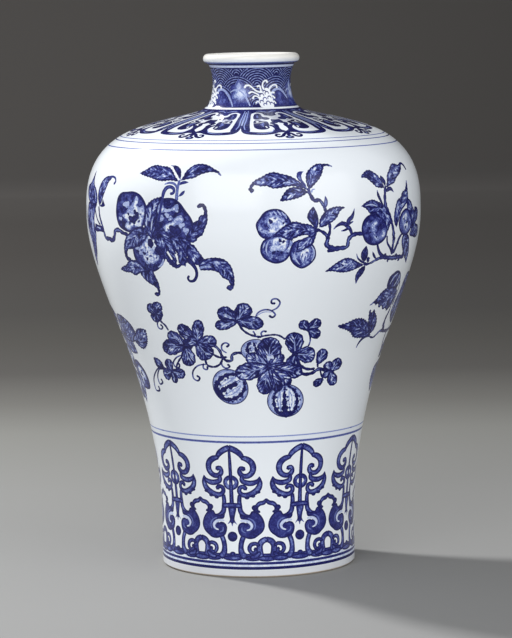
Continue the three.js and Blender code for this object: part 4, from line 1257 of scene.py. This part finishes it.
def skinOf(section, circles):
    # One section's share of the skin, with its cut edges led in to the circles of its wall.
    middle = where[tris][:, :, 1].mean(1)
    own = np.where((middle > section["bottom"]) & (middle < section["top"]))[0]
    used, back = np.unique(seam[tris[own]], return_inverse=True)
    faces = back.reshape(-1, 3)
    good = (faces[:, 0] != faces[:, 1]) & (faces[:, 1] != faces[:, 2]) & (faces[:, 0] != faces[:, 2])
    own, faces = own[good], faces[good]
    # Two faces on the same three points are a fold at the seam.
    _, alike, times = np.unique(np.sort(faces, axis=1), axis=0, return_inverse=True, return_counts=True)
    single = times[alike.ravel()] == 1
    own, faces = own[single], faces[single]
    points, extra = [onPot(where[used])], []
    for up, circle in zip((section["bottom"], section["top"]), circles):
        first = len(used) + ringSides * (len(points) - 1)
        circlePoints, circleFaces = closeRim(where[used], up, circle, first)
        points.append(circlePoints)
        extra += circleFaces
    mesh = bpy.data.meshes.new(section["node"] + "_painted")
    mesh.from_pydata(np.vstack(points).tolist(), [], faces.tolist() + extra)
    plain = np.zeros((len(extra) * 3, 4), np.float32)
    for name, kind, key, values, size in (
            ("brush", "FLOAT_COLOR", "color", brush, 4), ("edge", "FLOAT", "value", edge, 1),
            ("grain", "FLOAT_VECTOR", "vector", grain, 3)):
        flat = np.concatenate([values[own].ravel(), plain[:, :size].ravel()])
        mesh.attributes.new(name, kind, "CORNER").data.foreach_set(key, flat)
    facing = np.vstack([outward(where[used]), np.zeros((2 * ringSides, 3))]).astype(np.float32)
    mesh.attributes.new("facing", "FLOAT_VECTOR", "POINT").data.foreach_set("vector", facing.ravel())
    layoutSkin(mesh, section, own)
    section["skinPoints"] = len(used)
    obj = bpy.data.objects.new(mesh.name, mesh)
    bpy.context.collection.objects.link(obj)
    return obj


layout = {"margin": 0.01, "skinFrom": 0.12, "skinTall": 0.88, "stripFill": 0.96,
          "insideTall": 0.1, "insideFrom": 0.005, "insideReach": 2.2}


def layoutSkin(mesh, section, own):
    # The skin is unrolled in three strips, one above the other; the inside has the lowest band.
    strips = skinNet["strips"]
    corner = where[tris[own]]
    middle = corner[:, :, 0].mean(1) / (2 * halfTurn) + 0.5
    strip = np.clip((middle * strips).astype(int), 0, strips - 1)
    u = (corner[:, :, 0] / (2 * halfTurn) + 0.5) * strips - strip[:, None]
    v = (corner[:, :, 1] - section["bottom"]) / (section["top"] - section["bottom"])
    margin = layout["margin"]
    tall = layout["skinTall"] / strips
    uv = np.stack([margin + (1 - 2 * margin) * u,
                   layout["skinFrom"] + tall * (strip[:, None] + margin + layout["stripFill"] * v)], 2)
    layer = mesh.uv_layers.new(name="OFBake")
    flat = np.zeros(len(mesh.loops) * 2, np.float32)
    flat[:uv.size] = uv.ravel()
    layer.data.foreach_set("uv", flat)


def deselect():
    if bpy.context.object and bpy.context.object.mode != "OBJECT":
        bpy.ops.object.mode_set(mode="OBJECT")
    bpy.ops.object.select_all(action="DESELECT")


def turned(name, points):
    # A lathe-turned face: a ring of edges, drawn out and scaled from point to point.
    deselect()
    radius, height = points[0]
    bpy.ops.mesh.primitive_circle_add(vertices=ringSides, radius=radius * mm, location=(0, 0, height * mm))
    obj = bpy.context.object
    obj.name = name
    bpy.ops.object.transform_apply(location=True, rotation=True, scale=True)
    bpy.ops.object.mode_set(mode="EDIT")
    bpy.ops.mesh.select_all(action="SELECT")
    for nextRadius, nextHeight in points[1:]:
        rise = (0, 0, (nextHeight - height) * mm)
        bpy.ops.mesh.extrude_edges_move(TRANSFORM_OT_translate={"value": rise})
        if nextRadius < 0.01:
            bpy.ops.mesh.merge(type="CENTER")
            break
        ratio = nextRadius / radius
        bpy.ops.transform.resize(value=(ratio, ratio, 1), center_override=(0, 0, nextHeight * mm))
        radius, height = nextRadius, nextHeight
    bpy.ops.object.mode_set(mode="OBJECT")
    return obj


def joinAll(first, others):
    deselect()
    for obj in (first, *others):
        obj.select_set(True)
    bpy.context.view_layer.objects.active = first
    bpy.ops.object.join()


def between(face, low, high):
    # The stretch of a face between two heights, with both ends cut level.
    first, last = [(float(np.interp(z, face[:, 1], face[:, 0])), z) for z in (low, high)]
    rows = [tuple(p) for p in face[::6] if low + 0.5 < p[1] < high - 0.5]
    return [first, *rows, last]


# Foot: the resting ring, the recess under the floor and the rounded floor inside.
foot = {"ringWidth": 7.5, "innerBevel": 1.0, "lean": 2.5, "recess": 8.5, "recessFillet": 2.5,
        "floor": 7.5, "floorFillet": 16.0, "wall": 7.0, "floorRings": (0.75, 0.5, 0.25, 0.08)}
slip = {"ridge": 1.4, "steps": 8}
lip = {"start": -80, "end": 176, "steps": 24, "boreGap": 0.6, "line": (324, 326), "lineInside": 27}


def arc(cx, cy, radius, start, end, count):
    return [(cx + radius * heading(a)[0],
             cy + radius * heading(a)[1]) for a in np.linspace(start, end, count)]


def flatFloor(radius, height):
    # Rings across a flat floor, and its middle.
    return [(radius * k, height) for k in foot["floorRings"]] + [(0, height)]


def footFaces(top):
    ringOuter = footRadius - bevel
    ringInner = ringOuter - foot["ringWidth"]
    recessRadius = ringInner - foot["innerBevel"] - foot["lean"]
    fillet = foot["recessFillet"]
    under = [(ringOuter + 0.25, 0.3), (ringOuter - 0.3, 0), (ringInner + 0.2, 0), (ringInner - 0.3, 0.25),
             (ringInner - foot["innerBevel"], foot["innerBevel"]),
             *arc(recessRadius - fillet, foot["recess"] - fillet, fillet, 0, 90, 7)]
    under += flatFloor(recessRadius - fillet, foot["recess"])
    floorTop = foot["recess"] + foot["floor"]
    fillet = foot["floorFillet"]
    insideFoot = footRadius - foot["wall"]
    wall = between(innerFace, innerFace[0][1] + 2, top)[::-1]
    wall = [p for p in wall if p[1] > floorTop + fillet + 1]
    wall += arc(insideFoot - fillet, floorTop + fillet, fillet, 0, -90, 12)
    wall += flatFloor(insideFoot - fillet, floorTop)
    return under, wall


def lipFaces(bottom, top):
    # The rolled lip and the bore below it.
    roll = pot["lipRoll"]
    centre = (float(radiusAt(lastUp)), top + roll)
    bore = between(innerFace, bottom, centre[1] - lip["boreGap"])[::-1]
    return arc(*centre, roll, lip["start"], lip["end"], lip["steps"]) + bore


def ridged(wall):
    # The low round ridge that the slip leaves on the inside of a joint.
    (r1, z1), (r2, z2) = wall[0], wall[-1]
    ridge = []
    for a in np.linspace(0, math.pi, slip["steps"])[1:-1]:
        part = 0.5 - 0.5 * math.cos(a)
        ridge.append((r1 + (r2 - r1) * part - slip["ridge"] * math.sin(a), z1 + (z2 - z1) * part))
    return [wall[0], *ridge, wall[-1]]


def finish(obj, section):
    # Turns every face outward and gives the skin its true facing, so the cuts don't show.
    bpy.ops.object.mode_set(mode="EDIT")
    bpy.ops.mesh.select_all(action="SELECT")
    bpy.ops.mesh.normals_make_consistent(inside=False)
    bpy.ops.mesh.select_all(action="DESELECT")
    bpy.ops.object.mode_set(mode="OBJECT")
    mesh = obj.data
    mesh.polygons.foreach_set("use_smooth", np.ones(len(mesh.polygons), bool))
    facing = np.zeros(len(mesh.vertices) * 3, np.float32)
    mesh.attributes["facing"].data.foreach_get("vector", facing)
    mesh.normals_split_custom_set_from_vertices(facing.reshape(-1, 3))
    mesh.attributes.remove(mesh.attributes["facing"])
    obj.name = section["node"] + "_painted"


def layoutInside(obj, section):
    # Everything but the skin goes into the lowest band of the layout, seen from above, and carries
    # no ink, apart from the line under the lip.
    mesh = obj.data
    uv = np.empty(len(mesh.loops) * 2, np.float32)
    layer = mesh.uv_layers["OFBake"]
    layer.data.foreach_get("uv", uv)
    uv = uv.reshape(-1, 2)
    bare = (uv[:, 0] == 0) & (uv[:, 1] == 0)
    index = np.empty(len(mesh.loops), np.int32)
    mesh.loops.foreach_get("vertex_index", index)
    co = np.empty(len(mesh.vertices) * 3, np.float32)
    mesh.vertices.foreach_get("co", co)
    co = co.reshape(-1, 3)[index]
    reach = np.abs(co[:, :2]).max() * layout["insideReach"]
    uv[bare, 0] = layout["margin"] + layout["insideTall"] * (co[bare, 0] / reach + 0.5)
    uv[bare, 1] = layout["insideFrom"] + layout["insideTall"] * (co[bare, 1] / reach + 0.5)
    layer.data.foreach_set("uv", uv.ravel())
    for name, key, size in (("brush", "color", 4), ("edge", "value", 1), ("grain", "vector", 3)):
        values = np.empty(len(mesh.loops) * size, np.float32)
        mesh.attributes[name].data.foreach_get(key, values)
        values = values.reshape(-1, size)
        values[bare] = 0
        if name == "brush" and section["node"] == "mouth_and_neck":
            r = np.hypot(co[:, 0], co[:, 1])
            low, high = lip["line"]
            under = bare & (co[:, 2] < high * mm) & (co[:, 2] > low * mm) & (r > lip["lineInside"] * mm)
            values[under] = inks["line"]
        mesh.attributes[name].data.foreach_set(key, values.ravel())


def makeSection(section):
    # The skin outside, the turned faces inside and below, welded where they meet.
    node = section["node"]
    bottom, top = float(heightAt(section["bottom"])), float(heightAt(section["top"]))
    if node == "foot_section":
        under, wall = footFaces(top)
        circles, rest = [under[0], wall[0]], [turned("under", under), turned("wall", wall)]
    elif node == "mouth_and_neck":
        wall = lipFaces(bottom, top)
        circles, rest = [wall[-1], wall[0]], [turned("lip", wall)]
    else:
        wall = between(innerFace, bottom, top)
        if node.endswith("slip_joint"):
            wall = ridged(wall)
        circles, rest = [wall[0], wall[-1]], [turned("wall", wall)]
    skin = skinOf(section, circles)
    joinAll(skin, rest)
    chosen = np.arange(len(skin.data.vertices)) >= section["skinPoints"]
    skin.data.vertices.foreach_set("select", chosen)
    skin.data.edges.foreach_set("select", np.zeros(len(skin.data.edges), bool))
    skin.data.polygons.foreach_set("select", np.zeros(len(skin.data.polygons), bool))
    bpy.ops.object.mode_set(mode="EDIT")
    bpy.ops.mesh.select_mode(type="VERT")
    bpy.ops.mesh.remove_doubles(threshold=skinNet["weld"] * mm)
    finish(skin, section)
    layoutInside(skin, section)
    return skin


def srgb(r, g, b):
    linear = [((c / 255 + 0.055) / 1.055) ** 2.4 if c > 10 else c / 255 / 12.92 for c in (r, g, b)]
    return (*linear, 1.0)


def newMaterial(name):
    material = bpy.data.materials.new(name)
    material.use_nodes = True
    nodes = material.node_tree.nodes
    nodes.clear()
    output = nodes.new("ShaderNodeOutputMaterial")
    shader = nodes.new("ShaderNodeBsdfPrincipled")
    material.node_tree.links.new(shader.outputs[0], output.inputs[0])
    return material, shader


def wire(material, source, target):
    material.node_tree.links.new(source, target)


def maths(material, kind, a, b=None, c=None, clamp=False):
    # A Math node; each input is a number or another node's output.
    node = material.node_tree.nodes.new("ShaderNodeMath")
    node.operation = kind
    node.use_clamp = clamp
    for i, value in enumerate((a, b, c)):
        if value is None:
            continue
        if isinstance(value, (int, float)):
            node.inputs[i].default_value = value
        else:
            wire(material, value, node.inputs[i])
    return node.outputs[0]


def noise(material, vector, scale, detail=3.0, rough=0.5):
    node = material.node_tree.nodes.new("ShaderNodeTexNoise")
    node.inputs["Scale"].default_value = scale
    node.inputs["Detail"].default_value = detail
    node.inputs["Roughness"].default_value = rough
    wire(material, vector, node.inputs["Vector"])
    return node.outputs["Fac"]


def axisOf(material, vector, axis):
    node = material.node_tree.nodes.new("ShaderNodeSeparateXYZ")
    wire(material, vector, node.inputs[0])
    return node.outputs[axis]


def ramp(material, factor, stops):
    node = material.node_tree.nodes.new("ShaderNodeValToRGB")
    while len(node.color_ramp.elements) < len(stops):
        node.color_ramp.elements.new(0.5)
    for element, (place, colour) in zip(node.color_ramp.elements, stops):
        element.position = place
        element.color = colour
    wire(material, factor, node.inputs[0])
    return node.outputs[0]


def blend(material, factor, colour, other):
    node = material.node_tree.nodes.new("ShaderNodeMix")
    node.data_type = "RGBA"
    wire(material, factor, node.inputs["Factor"])
    wire(material, colour, node.inputs[6])  # 6 and 7 are A and B as colours
    node.inputs[7].default_value = other
    return node.outputs[2]


# Cobalt under the glaze, from bare glaze to the darkest touches of the brush.
cobalt = {
    "stops": [
        (0.0, srgb(226, 231, 236)), (0.12, srgb(204, 214, 234)), (0.28, srgb(158, 171, 213)),
        (0.44, srgb(108, 123, 184)), (0.6, srgb(70, 79, 144)), (0.76, srgb(42, 47, 118)),
        (0.9, srgb(28, 30, 94)), (1.0, srgb(20, 20, 72)),
    ],
    "roughness": 0.17,
    "specular": 0.34,
    "coarse": 230,  # scales of the noise, to the metre
    "fine": 760,
    "speckle": 2300,
    "clouds": 0.34,
    "veins": 0.34,  # to the mm along the midrib
    "bump": 0.05,
}


def paintedPorcelain():
    material, shader = newMaterial("paintedPorcelain")
    nodes = material.node_tree.nodes
    place = nodes.new("ShaderNodeTexCoord").outputs["Object"]

    def calc(kind, *values, clamp=False):
        return maths(material, kind, *values, clamp=clamp)

    def attribute(name):
        node = nodes.new("ShaderNodeAttribute")
        node.attribute_name = name
        return node

    brushNode = attribute("brush")
    split = nodes.new("ShaderNodeSeparateColor")
    wire(material, brushNode.outputs["Color"], split.inputs[0])
    wash, rim, rimWidth = split.outputs
    uneven = brushNode.outputs["Alpha"]
    edgeAt = attribute("edge").outputs["Fac"]
    grainNode = nodes.new("ShaderNodeSeparateXYZ")
    wire(material, attribute("grain").outputs["Vector"], grainNode.inputs[0])
    along, across, veins = grainNode.outputs

    coarse = noise(material, place, cobalt["coarse"], 2, 0.6)
    fine = noise(material, place, cobalt["fine"], 2, 0.6)
    speckle = noise(material, place, cobalt["speckle"], 1, 0.5)

    # At the rim of a mark the ink gathers, with an uneven inner border.
    wander = calc("MULTIPLY_ADD", fine, 3.0, -1.5)
    wander = calc("MULTIPLY", wander, uneven)
    depth = calc("ADD", edgeAt, wander)
    atRim = calc("DIVIDE", depth, rimWidth)
    atRim = calc("SUBTRACT", 1.6, atRim, clamp=True)
    gathered = calc("SUBTRACT", rim, wash)
    density = calc("MULTIPLY_ADD", gathered, atRim, wash)

    # Wash: cloudy, with paler and darker pools.
    pools = calc("MULTIPLY_ADD", coarse, 5.0, -2.5)
    cloud = calc("MULTIPLY_ADD", fine, 3.2, -1.6)
    cloud = calc("ADD", cloud, pools)
    cloud = calc("MINIMUM", calc("MAXIMUM", cloud, -0.9), 0.9)
    cloud = calc("MULTIPLY", cloud, uneven)
    narrow = calc("SUBTRACT", 2.2, rimWidth, clamp=True)
    inBody = calc("SUBTRACT", 1.0, calc("MULTIPLY", atRim, narrow), clamp=True)
    cloud = calc("MULTIPLY", cloud, inBody)
    density = calc("MULTIPLY_ADD", cloud, cobalt["clouds"], density)

    # Veins run out obliquely from the midrib of a leaf; they come and go with the brush.
    off = calc("ABSOLUTE", across)
    lean = calc("MULTIPLY_ADD", off, -1.5, along)
    streakAt = nodes.new("ShaderNodeCombineXYZ")
    wire(material, calc("MULTIPLY", lean, 0.44), streakAt.inputs[0])
    wire(material, calc("MULTIPLY", across, 0.42), streakAt.inputs[1])
    wire(material, calc("MULTIPLY", axisOf(material, place, 0), 60.0), streakAt.inputs[2])
    streak = noise(material, streakAt.outputs[0], 1.0, 2, 0.6)
    streak = calc("MULTIPLY_ADD", streak, 7.0, -3.6)
    streak = calc("MINIMUM", calc("MAXIMUM", streak, -0.8), 1.0)
    rhythm = calc("MULTIPLY", lean, cobalt["veins"])
    wobble = calc("MULTIPLY_ADD", coarse, 2.6, rhythm)
    gap = calc("PINGPONG", wobble, 0.5)
    vein = calc("MULTIPLY_ADD", gap, -5.4, 1.0, clamp=True)
    patchy = calc("MULTIPLY_ADD", fine, 4.0, -1.3, clamp=True)
    vein = calc("MULTIPLY", vein, patchy)
    rib = calc("MULTIPLY_ADD", off, -2.2, 1.2, clamp=True)
    feathery = calc("MULTIPLY_ADD", veins, 4.0, -4.0, clamp=True)
    vein = calc("MULTIPLY", vein, calc("MULTIPLY_ADD", feathery, 0.32, 0.12))
    streak = calc("MULTIPLY_ADD", streak, -0.4, calc("MULTIPLY", rib, 0.2))
    streak = calc("SUBTRACT", streak, vein)
    streak = calc("MULTIPLY", streak, veins)
    streak = calc("MULTIPLY", streak, inBody)
    density = calc("ADD", density, streak)

    # Fine grain of the cobalt, only where there is ink.
    inked = calc("MULTIPLY", rim, 6.0, clamp=True)
    heaps = calc("MULTIPLY_ADD", speckle, 0.5, -0.25)
    density = calc("MULTIPLY_ADD", heaps, inked, density)
    bleed = calc("MULTIPLY_ADD", edgeAt, 2.2, 0.6, clamp=True)
    density = calc("MULTIPLY", density, bleed)
    density = calc("MULTIPLY", density, inked, clamp=True)

    # The glaze is warmer where it runs thin on the lip and wiped off the ring the pot stands on; just above
    # that ring it is greyed with painted shade where there is little ink.
    level = calc("MULTIPLY", axisOf(material, place, 2), 1000.0)  # mm above the foot
    onLip = calc("MULTIPLY_ADD", level, 0.5, -163.4, clamp=True)
    colour = blend(material, onLip, ramp(material, density, cobalt["stops"]), srgb(229, 227, 222))
    worn = calc("MULTIPLY_ADD", fine, 1.2, -0.6)
    # painted shade: grey blended into the glaze below about 8 mm above the foot, fading out under ink
    low = calc("MULTIPLY", calc("MULTIPLY_ADD", level, -0.3, 2.3, clamp=True), 0.55)
    low = calc("MULTIPLY", low, calc("MULTIPLY_ADD", density, -3.0, 1.0, clamp=True))
    colour = blend(material, low, colour, srgb(190, 188, 188))
    bare = calc("ADD", calc("MULTIPLY_ADD", level, -2.0, 2.8), worn, clamp=True)
    colour = blend(material, bare, colour, srgb(186, 172, 154))
    wire(material, colour, shader.inputs["Base Color"])
    wire(material, calc("MULTIPLY_ADD", bare, 0.5, cobalt["roughness"]), shader.inputs["Roughness"])
    shader.inputs["Specular IOR Level"].default_value = cobalt["specular"]
    bump = nodes.new("ShaderNodeBump")
    bump.inputs["Strength"].default_value = cobalt["bump"]
    bump.inputs["Distance"].default_value = 0.0005
    wire(material, noise(material, place, 60, 2, 0.5), bump.inputs["Height"])
    wire(material, bump.outputs[0], shader.inputs["Normal"])
    return material


# Pale floor that bends up behind the pot. Its colour holds painted shade: it darkens towards the back and the
# rise, and towards the right. Sizes are in metres.
sweep = {
    "wide": 14, "deep": 8, "back": 3, "bendSteps": 12, "bendStep": 0.2, "rise": 6,
    # painted shade: greys that fall from pale near the pot to dark at the back and on the rise
    "stops": [
        (0.267, srgb(139, 139, 138)), (0.354, srgb(129, 129, 127)), (0.415, srgb(114, 114, 110)),
        (0.451, srgb(90, 89, 85)), (0.494, srgb(63, 61, 58)), (0.544, srgb(55, 53, 49)),
        (0.603, srgb(48, 46, 43)), (0.762, srgb(54, 51, 48)), (0.87, srgb(63, 60, 57)),
        (0.984, srgb(81, 78, 75)), (1.0, srgb(87, 84, 81)),
    ],
    "roughness": 0.9,
}


def floorWithPaintedShade():
    material, shader = newMaterial("paleSweep")
    nodes = material.node_tree.nodes
    place = nodes.new("ShaderNodeTexCoord").outputs["Object"]
    back = maths(material, "MULTIPLY_ADD", axisOf(material, place, "Y"), 0.2, 0.3, clamp=True)
    # painted shade: the floor darkens towards the right
    across = maths(material, "MULTIPLY_ADD", axisOf(material, place, "X"), -0.36, 1.0)
    tint = nodes.new("ShaderNodeVectorMath")
    tint.operation = "SCALE"
    wire(material, ramp(material, back, sweep["stops"]), tint.inputs[0])
    wire(material, across, tint.inputs["Scale"])
    wire(material, tint.outputs[0], shader.inputs["Base Color"])
    shader.inputs["Roughness"].default_value = sweep["roughness"]
    return material


def makeStage():
    deselect()
    bpy.ops.mesh.primitive_plane_add(size=1, location=(0, 0, 0))
    obj = bpy.context.object
    obj.name = "sweep"
    mesh = obj.data
    bpy.ops.object.mode_set(mode="EDIT")
    bpy.ops.transform.resize(value=(sweep["wide"], sweep["deep"], 1))
    bpy.ops.mesh.select_all(action="DESELECT")
    bpy.ops.object.mode_set(mode="OBJECT")
    for e in mesh.edges:
        e.select = all(mesh.vertices[i].co.y > sweep["back"] for i in e.vertices)
    for v in mesh.vertices:
        v.select = v.co.y > sweep["back"]
    bpy.ops.object.mode_set(mode="EDIT")
    for k in range(sweep["bendSteps"]):
        along, up = sweep["bendStep"] * heading(90 / sweep["bendSteps"] * (k + 0.5))
        bpy.ops.mesh.extrude_edges_move(TRANSFORM_OT_translate={"value": (0, along, up)})
    bpy.ops.mesh.extrude_edges_move(TRANSFORM_OT_translate={"value": (0, 0, sweep["rise"])})
    bpy.ops.object.mode_set(mode="OBJECT")
    bpy.ops.object.shade_smooth()
    mesh.materials.append(floorWithPaintedShade())


# Camera: mm and degrees, with the focal length and the tall side of the frame in pixels.
camera = {"distance": 1932.08, "height": 374.31, "pitch": 6.366, "roll": 0.89, "aside": 0.478,
          "focal": 2988.16, "frameTall": 638, "sensor": 36, "farthest": 50}


def placeCamera():
    data = bpy.data.cameras.new("camera")
    data.sensor_width = camera["sensor"]
    data.lens = camera["focal"] * camera["sensor"] / camera["frameTall"]
    data.clip_end = camera["farthest"]
    obj = bpy.data.objects.new("camera", data)
    bpy.context.collection.objects.link(obj)
    turn = Matrix.Rotation(math.radians(90 - camera["pitch"]), 4, "X")
    roll = Matrix.Rotation(math.radians(-camera["roll"]), 4, "Z")
    place = Matrix.Translation((camera["aside"] * mm, -camera["distance"] * mm, camera["height"] * mm))
    obj.matrix_world = place @ turn @ roll
    bpy.context.scene.camera = obj


# Lamps: place and size in metres, power in watts. All aim at the middle of the pot.
lamps = [
    {"name": "back", "place": (-1.9, 1.45, 2.3), "size": 0.3, "power": 115},
    {"name": "key", "place": (-1.0, -3.2, 1.6), "size": 3.0, "power": 84},
    {"name": "fill", "place": (2.6, -2.2, 1.0), "size": 3.0, "power": 58},
]
studio = {"aim": (0, 0, 0.17), "colour": (0.95, 0.97, 1.0, 1), "strength": 0.46}


def placeLamps():
    for lamp in lamps:
        data = bpy.data.lights.new(lamp["name"], "AREA")
        data.size = lamp["size"]
        data.energy = lamp["power"]
        obj = bpy.data.objects.new(lamp["name"], data)
        bpy.context.collection.objects.link(obj)
        obj.location = lamp["place"]
        aim = Vector(studio["aim"]) - Vector(lamp["place"])
        obj.rotation_euler = aim.to_track_quat("-Z", "Y").to_euler()
    world = bpy.data.worlds.new("studio")
    world.use_nodes = True
    background = world.node_tree.nodes["Background"]
    background.inputs["Color"].default_value = studio["colour"]
    background.inputs["Strength"].default_value = studio["strength"]
    bpy.context.scene.world = world


placeCamera()
placeLamps()
makeStage()
print("stage, lamps and camera placed")

porcelain = paintedPorcelain()
for section in sections:
    piece = makeSection(section)
    piece.data.materials.clear()
    piece.data.materials.append(porcelain)
    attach(piece, "root")
    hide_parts(section["node"])
    print("made", piece.name, len(piece.data.polygons), "faces")

bpy.context.scene.view_settings.view_transform = "Standard"
